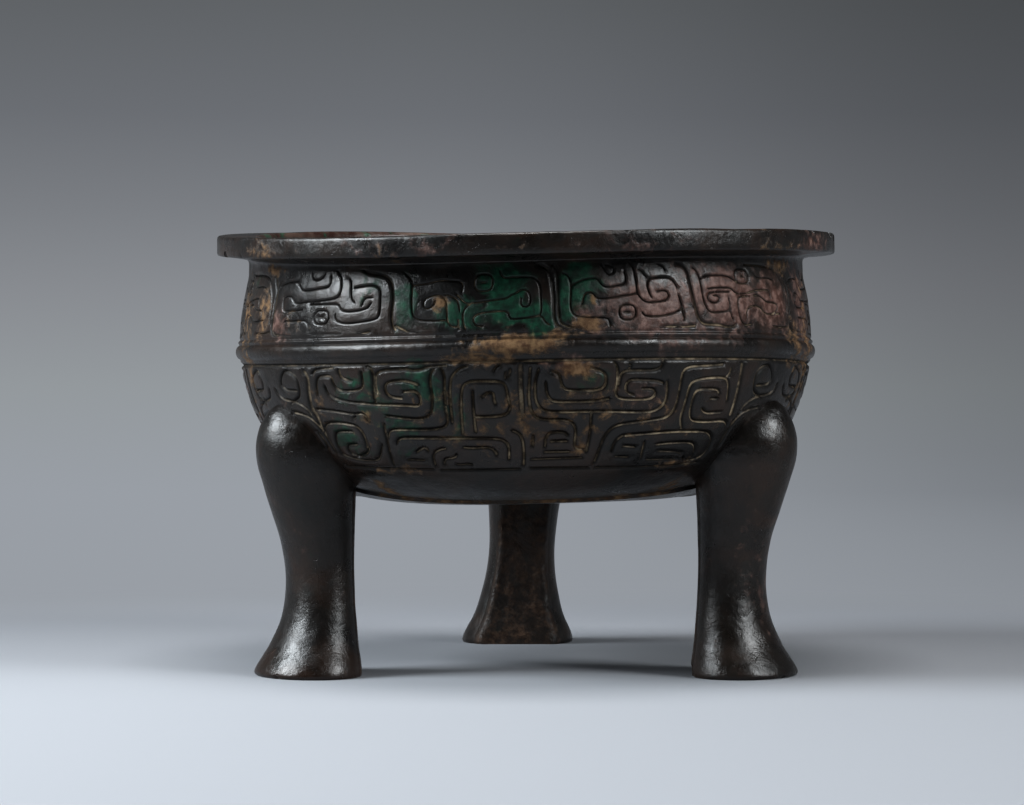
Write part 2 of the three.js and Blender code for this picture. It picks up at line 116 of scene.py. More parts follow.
# Rows of vertices along a stroke, in half widths from its middle, and how sparse they are at the back.
ROW_OFFSETS = (0, 0.7, 1.35, 2.3)
HIDDEN_SHARE = 1.35
# How far the strokes' vertices stay from a band's edges and from the seam at the back.
EDGE_MARGIN = 0.45
SEAM_MARGIN = 0.4
# The honeycomb between the strokes, in steps: its first row, its margins, its rows and its least gap.
FILL_FIRST = 0.8
FILL_LEFT = 0.7
FILL_MARGIN = 0.5
FILL_ROW = 0.87
FILL_GAP = 0.62
# The relief fades out over this distance at a band's edges.
EDGE_FADE = 0.7
SLOPE_REACH = 0.3
TINY = 1e-9


def strokes(text):
    """Strokes written as azimuth,height points in tenths, with a semicolon between two strokes."""
    runs = [[item.split(",") for item in run.split()] for run in text.split(";")]
    return [[(float(theta) / 10, float(z) / 10) for theta, z in run] for run in runs]


def rounded(path, rounds=2):
    """The path with its corners cut round, its ends kept."""
    points = np.array(path, float)
    for _ in range(rounds):
        a, b = points[:-1], points[1:]
        cut = np.stack([a * 0.75 + b * 0.25, a * 0.25 + b * 0.75], 1).reshape(-1, 2)
        points = np.vstack([points[:1], cut[1:-1], points[-1:]])
    return points


def hermite(xs, ys, x):
    """A smooth curve through a table's points."""
    xs, ys, x = np.asarray(xs, float), np.asarray(ys, float), np.asarray(x, float)
    slopes = np.gradient(ys, xs)
    i = np.clip(np.searchsorted(xs, x) - 1, 0, len(xs) - 2)
    h = xs[i + 1] - xs[i]
    t = np.clip((x - xs[i]) / h, 0, 1)
    return (
        ys[i] * (1 + 2 * t) * (1 - t) ** 2
        + slopes[i] * h * t * (1 - t) ** 2
        + ys[i + 1] * t * t * (3 - 2 * t)
        + slopes[i + 1] * h * t * t * (t - 1)
    )


def smoothstep(a, b, x):
    t = np.clip((x - a) / (b - a), 0, 1)
    return t * t * (3 - 2 * t)


def bell(x):
    return np.exp(-(x ** 2))


def bowl_table(radius, floor, count):
    """The bowl's lower profile as radii and heights, from the floor's middle to the shoulder."""
    angle = np.linspace(0, math.pi / 2, count)
    r = radius * np.sin(angle) ** SQUARENESS
    z = SHOULDER - (SHOULDER - floor) * np.clip(np.cos(angle), 0, 1) ** SWELL
    return r, z


def wall_above(z):
    """Radius over the shoulder: the fillet's bead, the small lines by it and the upper frieze."""
    body = np.interp(z, WALL_LEVELS, WALL_RADII)
    bead = FILLET_PROUD * np.sqrt(np.clip(1 - ((z - FILLET_LEVEL) / FILLET_HALF) ** 2, 0, 1))
    lines = sum(proud * bell((z - level) / reach) for level, reach, proud in FILLET_LINES)
    return body + bead + lines


# The outer profile: radius, height and length from the base's middle to the neck's top.
BOWL_R, BOWL_Z = bowl_table(BELLY, BASE, 700)
ABOVE_Z = np.arange(SHOULDER + 0.05, NECK_TOP + 0.01, 0.05)
PROFILE_Z = np.concatenate([BOWL_Z, ABOVE_Z])
PROFILE_R = np.concatenate([BOWL_R, wall_above(ABOVE_Z)])
PROFILE_S = np.concatenate([[0], np.cumsum(np.hypot(np.diff(PROFILE_R), np.diff(PROFILE_Z)))])
# Millimetres along the belly for one degree of azimuth.
ACROSS = math.radians(BELLY)


def level_of(s):
    return np.interp(s, PROFILE_S, PROFILE_Z)


def along_of(z):
    return np.interp(z, PROFILE_Z, PROFILE_S)


def radius_of(s):
    return np.interp(s, PROFILE_S, PROFILE_R)


def placed(theta, s, lift):
    """Points on the wall at an azimuth and a length along the profile, lifted off it."""
    theta, s = np.radians(np.asarray(theta, float)), np.asarray(s, float)
    dr = (radius_of(s + SLOPE_REACH) - radius_of(s - SLOPE_REACH)) / (2 * SLOPE_REACH)
    dz = (level_of(s + SLOPE_REACH) - level_of(s - SLOPE_REACH)) / (2 * SLOPE_REACH)
    size = np.maximum(np.hypot(dr, dz), 1e-6)
    r = radius_of(s) + lift * dz / size
    z = level_of(s) - lift * dr / size
    return np.stack([r * np.sin(theta), -r * np.cos(theta), z], 1)


# The strokes of the friezes.
UPPER = """
-561,1069 -550,1076 -529,1081 -502,1081; -497,1073 -492,1069 -488,1060 -482,1055 -455,1056 -430,1060
-412,1062 -406,1068 -405,1080 -408,1092; -476,1004 -500,1001 -529,1001 -540,1005 -542,1015 -542,1036
-537,1041 -524,1042 -511,1038 -507,1029 -501,1022 -488,1021 -466,1024 -427,1025 -400,1028 -386,1031 -378,1038
-375,1053 -376,1072 -380,1088 -387,1097 -394,1107; -455,1016 -400,1016 -380,1015 -375,1009 -371,999 -362,995
-350,993 -331,995 -317,998 -307,1003 -305,1009; -364,1085 -357,1082 -353,1072 -351,1053 -349,1034 -347,1024
-341,1019; -342,1057 -328,1060 -306,1063 -292,1059 -285,1051 -283,1038 -282,1015 -282,995 -283,978 -289,972
-303,968 -322,965 -350,962 -367,964 -376,968 -383,972 -385,988; -322,1011 -320,1022 -314,1030 -303,1029;
-529,974 -499,973 -474,975 -463,972 -457,965 -455,956; -462,1103 -460,1092 -455,1085 -441,1082 -430,1087
-424,1097; -234,1088 -226,1080 -219,1068 -217,1053 -218,1030 -217,1003 -215,980 -209,969 -195,964 -171,962
-151,963; -216,1057 -204,1059 -182,1062 -168,1067 -157,1068 -140,1065 -126,1064 -120,1059 -119,1049
-120,1040; -169,1029 -182,1026 -191,1020 -194,1011 -194,999 -188,993 -179,997 -172,1005 -171,1013; -165,1029
-157,1026 -150,1015 -148,995 -148,976 -146,959 -142,949 -135,944 -129,945; -150,1029 -137,1024 -129,1015
-125,999 -124,988; -126,961 -125,942 -122,934; -129,1029 -121,1015 -113,1005 -96,1006 -80,1008 -60,1012
-36,1015 -30,1024 -19,1028 -14,1036 -2,1038 6,1026 7,1003 2,992 -8,992 -12,1001 -11,1011; -102,1005 -111,997
-117,986 -118,968 -116,949 -113,941; -50,1086 -48,1076 -41,1067 -31,1070 9,1070 18,1061 24,1049 25,1030
26,999 26,976 22,968 9,965 -25,960 -33,965 -33,974 -36,983 -66,982 -88,978 -98,970 -99,959 -93,945 -82,945;
22,967 29,965 32,953 39,946; 69,1076 76,1072 80,1059 81,1038 80,1015 79,992 81,976 88,965 105,961 147,961
152,951 153,939; 84,1046 95,1055 110,1061 124,1064 132,1062 135,1053 140,1043 149,1038 165,1042 179,1045
185,1049 187,1065 184,1079; 102,1003 105,1020 110,1027 121,1026 125,1017 128,1010 149,1010 171,1015 193,1019
204,1022; 140,1099 145,1088 150,1074 157,1070 164,1076 165,1088 160,1095 150,1097; 198,1099 204,1086 205,1068
207,1045 207,1026 211,1015 218,1003 231,998 251,1001 264,1003 271,1009 273,1018 269,1029 259,1030 251,1028;
215,1084 222,1078 227,1063 242,1062 259,1065 273,1065 284,1057 290,1042; 234,1059 229,1053 228,1040 231,1026
235,1015; 294,1017 298,999 302,976 304,959; 216,972 220,964 237,962 259,964 275,968 289,974 298,982; 259,1097
267,1093 269,1082; 332,1090 339,1086 345,1072 347,1053 348,1030 351,1003 357,984 365,974 385,974 407,977
415,982 417,999 415,1011; 417,982 418,965 422,959; 349,1063 363,1070 390,1073 418,1072 432,1065 443,1055;
365,1036 390,1040 423,1040 430,1034 434,1027 445,1025 473,1028 489,1034 509,1038 542,1040 546,1034 547,1018;
418,1029 379,1028 364,1024 360,1010 368,1000 382,999 390,1005 391,1015 386,1019 378,1018; 475,1019 447,1018
440,1011 438,992 441,968 447,951 456,942 473,945; 462,968 462,978 470,990 484,995 500,995 513,986 520,976
542,974 578,978; 489,1022 509,1024 520,1015 531,1007 555,1007 571,1003 569,988 555,978; 498,1084 503,1074
514,1070 536,1072 555,1072 567,1067; 473,1104 514,1104 550,1103 572,1097 586,1088 595,1072 608,1053 613,1022
613,995 611,972; 550,943 564,943 572,940 610,945
"""
UPPER_BORDERS = """
-329,1106 -324,1099 -309,1093 -289,1090 -273,1083 -263,1070 -258,1049 -255,1022 -257,995 -257,965 -253,947
-249,942; -590,1095 -575,1067 -570,1055 -574,1026 -573,1000 -578,970 -579,950 -573,936 -525,931 -455,931
-378,932 -334,929 -303,939; 25,1099 39,1089 45,1072 47,1044 50,1013 49,980 50,953 56,939 69,929; 50,1099
55,1088 56.5,1053 57,995 59,961 62,947 72,940 88,931 152,929 220,929 253,930 270,937 292,933 328,938;
299,1100 311,1094 318,1080 321,1053 325,1022 330,988 335,965 343,947 354,942 390,942 401,936 420,936 430,942;
-249,952 -234,943 -223,934 -206,931 -162,929
"""
# The eyes: azimuth, height, and half the width in degrees and half the height.
EYES = [(-42.1, 98.1, 2.0, 1.9), (-8.05, 105.8, 1.75, 2.3), (18.65, 97.4, 1.65, 2.0), (46, 107.2, 2.0, 2.0)]
LOWER = """
-485,628 -479,640 -480,655 -487,670; -446,775 -445,790 -442,810 -437,821 -425,824 -400,825 -398,810 -395,797
-388,786 -375,783 -344,784 -330,790 -325,800 -325,820 -326,833; -452,831 -443,840 -425,843 -395,845; -379,840
-377,823 -370,816 -360,812 -352,810; -420,795 -418,780 -412,770 -401,763 -386,758 -365,753 -335,750 -299,746
-266,745 -231,743 -213,740 -206,749 -206,766 -210,776 -220,781 -240,779; -314,846 -304,842 -299,828 -300,808
-302,793 -305,770 -305,753; -460,734 -424,730 -400,727 -380,723 -360,721 -342,723 -334,716 -330,701; -369,710
-362,713; -468,664 -463,672 -459,685 -448,695 -430,698 -400,697 -380,693 -365,689 -358,678 -355,662 -357,644
-362,632; -444,615 -444,635 -441,653 -434,668 -423,674 -400,675 -385,674; -450,614 -430,604 -400,597 -377,595
-350,597 -339,606 -328,623 -319,638; -395,606 -377,611 -363,620 -355,633; -385,640 -410,638 -419,630 -417,614
-404,610; -296,694 -299,680 -299,665 -303,640 -308,618 -312,595 -315,583; -297,775 -297,810 -293,828 -284,835
-266,838 -230,839 -212,834 -198,837 -186,843 -150,845; -174,835 -181,826 -183,810 -183,790 -181,770 -183,747
-187,726 -195,714 -210,706 -240,708 -270,713 -284,715; -245,762 -262,764 -273,770 -278,783 -277,798 -267,807
-240,809 -222,805 -209,797; -296,658 -290,674 -278,680 -245,679 -195,678 -168,683 -158,694 -156,710 -158,740
-157,770 -155,800 -154,820 -159,836; -281,643 -275,653 -263,657 -220,656 -150,655 -60,653 -46,647 -39,637
-37,620 -39,595; -148,697 -147,740 -146,780 -143,808 -138,820 -130,832 -120,840 -110,842; -130,668 -128,703
-127,733 -125,762 -122,787 -116,797 -105,803 -91,804 -49,802 -40,792 -37,770 -34,745; -102,775 -103,745
-103,670; -85,762 -76,772 -65,774 -62,766 -63,753 -60,745; -100,710 -50,711 -36,718 -32,735; -61,830 -57,840
-49,844; -39,824 -40,809; -31,830 -34,812; -27,672 -16,666 -10,653 -7,637 -6,603 -7,580; -130,630 -115,628
-91,630 -79,629 -68,622 -64,609; -209,583 -209,595 -206,610 -198,620 -186,626 -174,628; -188,583 -185,596
-177,601 -157,603 -152,610; -157,585 -145,583 -133,587 -121,583; -240,620 -228,628 -215,632 -215,621;
-270,599 -231,597; 21,828 17,812 15,795 15,762 18,744 26,729 37,721 65,719 140,720 240,714 260,719 274,731
278,749 277,774 274,792; 35,795 36,774 41,756 50,747 74,745 140,746 157,752; 48,824 60,818 62,803 65,786
74,775 110,774 136,774 147,782 150,799 147,816 138,825 120,830; 6,833 3.5,780 4,745 9,719 19,705 35,700
74,699 89,692 97,680 99,662 99,637 103,622 124,619; 163,846 169,833 171,816 171,787 169,766 176,751 210,748
242,749 252,756 252,770 246,776 223,776; 194,850 193,828; 175,789 175,805 178,817 185,823 199,824 258,824
261,847; 206,761 194,764 188,778 190,793 197,800 211,800 250,798 265,792; 126,716 127,691 129,670 128,612;
12,632 13,658; 38,628 38,653 44,664 59,668 77,666 83,658; 50,643 80,643; 40,615 90,615; 10,596 120,598;
153,585 156,620 158,643 163,660 172,676 188,684 210,687 260,694 286,699 298,711 303,728 304,762 304,800
306,820; 199,654 189,646 184,630 185,612; 199,654 250,658 320,663 397,662 415,655 427,645 434,628 436,612
430,593 409,585 385,585 373,594; 208,627 235,624; 199,599 229,597; 255,637 257,612 264,590; 306,820 313,829
329,834 360,835 400,839; 333,670 326,687 321,703 323,733 324,758 326,783 332,794 352,801 397,805 415,801
421,791 426,766 429,745; 415,806 421,816 423,826; 402,764 399,771 391,774 355,774 343,769 340,753 339,733
341,710 349,694 360,689 397,687 433,690 449,687 457,678; 369,722 375,714 387,710 421,712; 383,748 399,748;
287,629 320,633 373,633 388,625 397,613 400,603; 299,611 349,609 361,604; 280,589 350,589; -600,853.5
-300,853 0,853.5 300,853 600,853.5; -460,579 -360,575 -220,572; -200,570 -120,569 -15,570; 10,572 145,570;
160,571 270,569 360,571 430,578
"""
LOWER_BORDERS = """
-476,837 -468,824 -467,808 -471,790 -473,770 -477,750 -475,733 -467,715 -469,693 -472,675; -12,843 -12,787
-10,745 -9,708; 453,840 453,780 456,705
"""
FLANK = """
-60,750 -92,764 -102,785 -102,810 -93,830 -60,843 -45,820 -41,800 -50,786 -90,784; -135,620 -135,660 -127,685
-115,705 -95,718 -60,725; -115,718 -112,730 -95,746 -70,755 -35,760 -20,770 -16,785; -110,600 -107,620
-95,650 -80,675 -60,695 -40,715
"""
BORDER_WIDTH = 1.6
# An eye's ring: how square it is and its points. Its pupil: half its length and its relative width.
EYE_SQUARENESS = 0.7
EYE_POINTS = 17
PUPIL = 0.25
PUPIL_WIDTH = 1.3


def squared(share):
    """A cosine or sine pulled towards the course of a square."""
    return np.sign(share) * np.abs(share) ** EYE_SQUARENESS


def eye_ring(theta, z, wide, tall):
    turn = np.linspace(0, 2 * math.pi, EYE_POINTS)
    return list(zip(theta + wide * squared(np.cos(turn)), z + tall * squared(np.sin(turn))))


def frieze_strokes():
    """The strokes of one sector, whose middle is at azimuth 0, as paths with their relative widths."""
    upper = [(path, 1) for path in strokes(UPPER)]
    upper += [(path, BORDER_WIDTH) for path in strokes(UPPER_BORDERS)]
    upper += [(eye_ring(*eye), 1) for eye in EYES]
    upper += [([(theta - PUPIL, z), (theta + PUPIL, z)], PUPIL_WIDTH) for theta, z, _, _ in EYES]
    lower = [(path, 1) for path in strokes(LOWER)]
    lower += [(path, BORDER_WIDTH) for path in strokes(LOWER_BORDERS)]
    for path in strokes(FLANK):
        lower.append(([(SECTOR_EDGE + theta, z) for theta, z in path], 1))
        lower.append(([(-SECTOR_EDGE - theta, z) for theta, z in path], 1))
    return upper, lower


def stations(path, step):
    """Points every step along a path: azimuth, length along the profile, and the side's direction."""
    points = rounded(path)
    s = along_of(points[:, 1])
    scale = np.radians(radius_of(s))
    x = points[:, 0] * scale.mean()
    length = np.concatenate([[0], np.cumsum(np.hypot(np.diff(x), np.diff(s)))])
    count = max(2, int(round(length[-1] / step)) + 1)
    at = np.linspace(0, length[-1], count)
    xs, ss = np.interp(at, length, x), np.interp(at, length, s)
    dx, ds = np.gradient(xs), np.gradient(ss)
    size = np.maximum(np.hypot(dx, ds), TINY)
    return xs / scale.mean(), ss, -ds / size, dx / size


class Near:
    """Finds how far a point lies from the nearest stroke."""

    def __init__(self, paths):
        rows, widths = [], []
        for path, width in paths:
            theta, s, _, _ = stations(path, SAMPLE_STEP)
            for sector in SECTORS:
                rows.append(placed(theta + sector, s, 0))
                widths.append(np.full(len(theta), float(width)))
        points = np.vstack(rows)
        self.widths = np.concatenate(widths)
        self.tree = KDTree(len(points))
        for i, p in enumerate(points):
            self.tree.insert(p, i)
        self.tree.balance()

    def distance(self, points):
        """Distances, measured in the nearest stroke's relative width."""
        found = [self.tree.find(p) for p in points]
        return np.array([d / self.widths[i] for _, i, d in found])


def relief(d, groove):
    """How far the surface is lifted at a distance from a groove's middle."""
    share = 1 - smoothstep(GROOVE_FLOOR * groove.half, GROOVE_EDGE * groove.half, d)
    beside = np.exp(-np.clip(d - groove.half, 0, None) / groove.spread)
    return -groove.depth * share - groove.drop * beside * (1 - share)


class Sieve:
    """Keeps points that lie at least a gap from those kept before."""

    def __init__(self, gap):
        self.gap = gap
        self.cells = {}
        self.points = []

    def add(self, x, y, gap=None):
        gap = gap or self.gap
        cx, cy = int(x // self.gap), int(y // self.gap)
        reach = int(math.ceil(gap / self.gap))
        for i in range(cx - reach, cx + reach + 1):
            for j in range(cy - reach, cy + reach + 1):
                for px, py in self.cells.get((i, j), ()):
                    if (px - x) ** 2 + (py - y) ** 2 < gap * gap:
                        return
        self.cells.setdefault((cx, cy), []).append((x, y))
        self.points.append((x, y))


class Band:
    """A carved band of the wall, laid out flat: x along the belly, s along the profile."""

    def __init__(self, levels, paths, groove):
        self.low, self.high = (float(along_of(z)) for z in levels)
        self.limit = 180 * ACROSS
        self.paths = paths
        self.groove = groove
        self.sieve = Sieve(LEAST_GAP)

    def sow_edges(self):
        """Points along the two rings and along the seam at the back."""
        for x in np.linspace(-self.limit, self.limit, COLUMNS + 1):
            self.sieve.add(x, self.low)
            self.sieve.add(x, self.high)
        count = int((self.high - self.low) / SEAM_STEP)
        for s in np.linspace(self.low, self.high, count)[1:-1]:
            self.sieve.add(-self.limit, s)
            self.sieve.add(self.limit, s)

    def sow_row(self, path, width, sector, offset):
        """A row of points beside each stroke, on both sides unless it is the stroke's middle."""
        step = STROKE_STEP * (1 if sector == 0 else HIDDEN_SHARE)
        theta, s, nx, ns = stations(path, step)
        local = np.radians(radius_of(s))
        for side in ((1,) if offset == 0 else (-1, 1)):
            reach = side * offset * self.groove.half * width
            azimuth = (theta + sector + nx * reach / local + 180) % 360 - 180
            for x, y in zip(azimuth * ACROSS, s + ns * reach):
                clear = self.low + EDGE_MARGIN < y < self.high - EDGE_MARGIN
                if clear and abs(x) < self.limit - SEAM_MARGIN:
                    self.sieve.add(float(x), float(y))

    def sow_between(self):
        """A honeycomb of points wherever there is still room."""
        row = 0
        y = self.low + FILL_STEP * FILL_FIRST
        while y < self.high - FILL_STEP * FILL_MARGIN:
            start = -self.limit + FILL_STEP * FILL_LEFT + (row % 2) * FILL_STEP / 2
            for x in np.arange(start, self.limit - FILL_STEP * FILL_MARGIN, FILL_STEP):
                self.sieve.add(float(x), float(y), FILL_STEP * FILL_GAP)
            y += FILL_STEP * FILL_ROW
            row += 1

    def mesh(self, near):
        """The band's azimuths, lengths along the profile, lifts and faces."""
        self.sow_edges()
        for offset in ROW_OFFSETS:
            for sector in SECTORS:
                for path, width in self.paths:
                    self.sow_row(path, width, sector, offset)
        self.sow_between()
        flat = [Vector(p) for p in self.sieve.points]
        verts, _, faces, _, _, _ = delaunay_2d_cdt(flat, [], [], 0, 1e-5)
        xy = np.array([v[:] for v in verts])
        theta, s = xy[:, 0] / ACROSS, xy[:, 1]
        lift = relief(near.distance(placed(theta, s, 0)), self.groove)
        lift *= smoothstep(0.0, EDGE_FADE, np.minimum(s - self.low, self.high - s))
        return theta, s, lift, faces


class Builder:
    """Gathers vertices and faces; rings are rows of vertices at the shared columns."""

    def __init__(self):
        self.points = []
        self.faces = []
        self.count = 0

    def add(self, points):
        first = self.count
        self.points.append(np.asarray(points, float))
        self.count += len(points)
        return first

    def ring(self, r, z):
        """A row of vertices, each a hair off the others' plane so that the boolean keeps it."""
        a = np.radians(np.linspace(-180, 180, COLUMNS + 1)[:-1])
        hair = HAIR * np.sin(np.arange(COLUMNS) * 2.4 + 1.7 * r + 2.3 * z)
        first = self.add(np.stack([(r + hair) * np.sin(a), -(r + hair) * np.cos(a), z + hair], 1))
        return [first + i for i in range(COLUMNS)]

    def rings(self, profile, start=None):
        """Rings at a profile's points, joined to each other and to a start; returns the last one."""
        last = start
        for r, z in profile:
            new = self.ring(r, z)
            if last is not None:
                self.bridge(last, new)
            last = new
        return last

    def bridge(self, lower, upper):
        for i, (a, b) in enumerate(zip(lower, upper)):
            j = (i + 1) % COLUMNS
            self.faces.append((a, lower[j], upper[j], b))

    def lid(self, ring, z):
        """Closes a ring with a fan that faces up."""
        pole = self.add([[0, 0, z]])
        for i, a in enumerate(ring):
            self.faces.append((a, ring[(i + 1) % COLUMNS], pole))

    def floor(self, z):
        """Closes the first ring with a fan that faces down."""
        self.lid(range(COLUMNS - 1, -1, -1), z)

    def grid(self, rows):
        """Rows of points, each a closed loop, joined to each other; returns the last row's first index."""
        count = len(rows[0])
        first = self.add(np.vstack(rows))
        for i in range(len(rows) - 1):
            low = first + i * count
            for k in range(count):
                j = (k + 1) % count
                self.faces.append((low + k, low + j, low + count + j, low + count + k))
        return first + (len(rows) - 1) * count

    def zone(self, band, near):
        """Adds a carved band, closed over the seam, and returns its lowest and highest rings."""
        theta, s, lift, faces = band.mesh(near)
        points = placed(theta, s, lift)
        column = np.round((theta + 180) * COLUMNS / 360).astype(int)
        low = {int(column[i]): i for i in np.where(s < band.low + 1e-3)[0]}
        high = {int(column[i]): i for i in np.where(s > band.high - 1e-3)[0]}
        seam = {round(v, 3): i for i, (t, v) in enumerate(zip(theta, s)) if t < -180 + 1e-4}
        target = np.arange(len(theta))
        for i in np.where(theta > 180 - 1e-4)[0]:
            target[i] = seam[round(s[i], 3)]
        used = np.unique(target)
        place = {int(k): i for i, k in enumerate(used)}
        first = self.add(points[used])
        for face in faces:
            self.faces.append(tuple(first + place[int(target[i])] for i in face))
        ring_low = [first + place[int(target[low[c]])] for c in range(COLUMNS)]
        ring_high = [first + place[int(target[high[c]])] for c in range(COLUMNS)]
        return ring_low, ring_high

    def mesh(self, name):
        mesh = bpy.data.meshes.new(name)
        mesh.from_pydata(np.vstack(self.points).tolist(), [], self.faces)
        mesh.validate()
        mesh.update()
        return mesh


# The rings of the plain base, as shares of its length, and the levels of those around the fillet.
BASE_SHARES = np.linspace(0.0, 1, 16)[1:] ** 1.5
FILLET_ROWS = np.concatenate([np.arange(86.6, 91.2, 0.36), np.arange(91.3, 92.9, 0.22)])
CAVITY_COUNT = 30


def casting(near_low, near_high, lower, upper):
    """The bowl's outside, closed over the top of the rim."""
    b = Builder()
    s_base = float(along_of(BAND_LOW[0])) * BASE_SHARES
    last = b.rings(list(zip(radius_of(s_base[:-1]), level_of(s_base[:-1]))))
    b.floor(BASE)
    low, high = b.zone(Band(BAND_LOW, lower, GROOVE_LOW), near_low)
    b.bridge(last, low)
    last = b.rings(list(zip(radius_of(along_of(FILLET_ROWS)), FILLET_ROWS)), high)
    low, high = b.zone(Band(BAND_HIGH, upper, GROOVE_HIGH), near_high)
    b.bridge(last, low)
    b.lid(b.rings(RIM_ROWS, high), RIM_TOP)
    return b.mesh("casting")


def cavity():
    """The inside of the bowl as a solid that is cut out of the casting."""
    b = Builder()
    r, z = bowl_table(BELLY - WALL, BASE + WALL, CAVITY_COUNT)
    last = b.rings([*zip(r[1:], z[1:]), *CAVITY_ROWS])
    b.floor(BASE + WALL)
    b.lid(last, CAVITY_TOP)
    return b.mesh("cavity")


# A leg's stations: height, depth outwards and half width.
LEG_ROWS = [
    (0, 24.6, 16.9), (0.5, 25.1, 17.2), (1.6, 24.9, 17.1), (4.5, 23.2, 15.95), (7.5, 21.3, 14.4),
    (10.1, 20.0, 13.4), (14.2, 18.1, 12.3), (20.2, 16.7, 11.0), (27.7, 16.5, 10.2), (36.7, 18.0, 10.5),
    (45, 20.9, 11.4), (52.5, 23.4, 12.7), (60, 25.4, 13.9), (66, 25.2, 13.2), (70.5, 23.7, 10.7),
    (73.6, 21.6, 6.8), (75.2, 19.4, 2.4),
]
LEG_LEVELS = np.concatenate([
    [0, 0.25, 0.6, 1.1], np.arange(1.8, 14, 1.0), np.arange(15, 60, 1.6), np.arange(60.5, 75.2, 0.75), [75.2],
])
# Where the flat inner face lies, how much of the leg's half width it has, and the points around a leg.
LEG_REACH = 58.0
CHORD = 0.62
FRONT_POINTS = 44
FACE_POINTS = 12
# The inner face's unevenness: how fine, how deep, and how far it stands out on average.
FACE_BUMP_SCALE = 0.22
FACE_BUMP_DEPTH = 0.35
FACE_PROUD = 0.25


def leg(axis, seed):
    """A leg with a rounded front and a flat, rough inner face."""
    heights, depths, halves = np.array(LEG_ROWS).T
    cut = math.pi - math.asin(CHORD)
    turn = np.linspace(-cut, cut, FRONT_POINTS)
    across_face = np.linspace(1, -1, FACE_POINTS + 2)[1:-1]
    angle = math.radians(axis)
    depth = hermite(heights, depths, LEG_LEVELS)
    half = hermite(heights, halves, LEG_LEVELS)
    rows = []
    for z, d, w in zip(LEG_LEVELS, depth, half):
        semi = d / (1 - math.cos(cut))
        out = np.concatenate([semi * (np.cos(turn) - math.cos(cut)), np.zeros(FACE_POINTS)])
        across = np.concatenate([w * np.sin(turn), w * math.sin(cut) * across_face])
        spots = [Vector((a * FACE_BUMP_SCALE, z * FACE_BUMP_SCALE, seed)) for a in across[FRONT_POINTS:]]
        bumps = np.array([noise.noise(spot) for spot in spots])
        out[FRONT_POINTS:] += FACE_BUMP_DEPTH * bumps + FACE_PROUD
        out += LEG_REACH
        x = out * math.sin(angle) + across * math.cos(angle)
        y = -out * math.cos(angle) + across * math.sin(angle)
        rows.append(np.stack([x, y, np.full(len(out), z)], 1))
    count = FRONT_POINTS + FACE_POINTS
    b = Builder()
    top = b.grid(rows)
    b.faces.append(tuple(range(count - 1, -1, -1)))
    b.faces.append(tuple(top + k for k in range(count)))
    return b.mesh("leg")


# The pad under the bowl: its reach at the corners and the sides, its bow, and how far it stands out.
PAD_CORNER = 60.0
PAD_SIDE = 44.0
PAD_BOW = 2.6
PAD_PROUD = 0.45
PAD_EDGE = 0.35
PAD_EDGE_WIDTH = 1.2
PAD_DEEP = 1.6
PAD_POINTS = 180
PAD_SHARES = np.linspace(0.06, 1, 22)


def from_side(azimuth):
    """Degrees from the middle of the nearest side, between two legs."""
    return (azimuth + SECTOR_EDGE) % (2 * SECTOR_EDGE) - SECTOR_EDGE


def pad_reach(azimuth):
    return PAD_SIDE + (PAD_CORNER - PAD_SIDE) * (np.abs(from_side(azimuth)) / SECTOR_EDGE) ** PAD_BOW


def casting_pad():
    """The pad under the bowl: a bowed triangle, its corners towards the legs, as a solid."""
    azimuth = np.radians(np.linspace(-180, 180, PAD_POINTS + 1)[:-1])
    reach = pad_reach(np.degrees(azimuth))
    under, over = [], []
    for share in PAD_SHARES:
        r = reach * share
        wall = np.interp(r, BOWL_R, BOWL_Z)
        edge = smoothstep(0.0, PAD_EDGE_WIDTH, reach - r) * PAD_EDGE
        under.append((r, wall - PAD_PROUD - PAD_EDGE + edge))
        over.append((r, wall + PAD_DEEP))
    b = Builder()
    rows = [*under, *reversed(over)]
    last = b.grid([np.stack([r * np.sin(azimuth), -r * np.cos(azimuth), z], 1) for r, z in rows])
    low = b.add([[0, 0, BASE - PAD_PROUD]])
    high = b.add([[0, 0, BASE + PAD_DEEP]])
    for k in range(PAD_POINTS):
        j = (k + 1) % PAD_POINTS
        b.faces.append((j, k, low))
        b.faces.append((last + k, last + j, high))
    return b.mesh("pad")


# Small losses at edges: azimuth, distance from the axis, height, size.
LOSSES = [
    (-20.5, 88.6, 123.2, 1.1), (-19.4, 88.8, 122.2, 0.8), (-36, 88.8, 123.3, 0.9), (-5, 88.8, 123.2, 0.8),
    (21, 88.7, 123.3, 1.0), (38, 88.8, 123.3, 0.8), (57, 88.6, 123.4, 2.0), (62.5, 88.8, 122.6, 1.4),
    (74, 88.8, 123.2, 2.4), (78.5, 88.9, 121.4, 1.6), (-71, 88.5, 116.9, 2.0), (-62, 88.8, 117.0, 1.3),
    (-64, 83.4, 0.2, 1.0), (-55, 82.8, 0.1, 1.2), (-70, 79, 0.2, 1.1), (66, 83, 0.2, 1.3),
    (57, 83.3, 0.1, 1.0), (71, 79, 0.1, 1.4), (50, 80, 0.2, 1.2), (43, 74, 0.3, 1.0),
    (33, 88.9, 117.2, 1.2), (8, 88.8, 123.2, 1.0), (46.5, 58.3, 0.4, 4.2), (-48, 57.6, -0.8, 2.6),
]
LUMP = 0.28
LUMP_SCALE = 1.3


def at(azimuth, reach, height):
    """The place at an azimuth, a distance from the axis and a height."""
    a = math.radians(azimuth)
    return Vector((reach * math.sin(a), -reach * math.cos(a), height))


def new_object(name, data):
    obj = bpy.data.objects.new(name, data)
    bpy.context.scene.collection.objects.link(obj)
    return obj


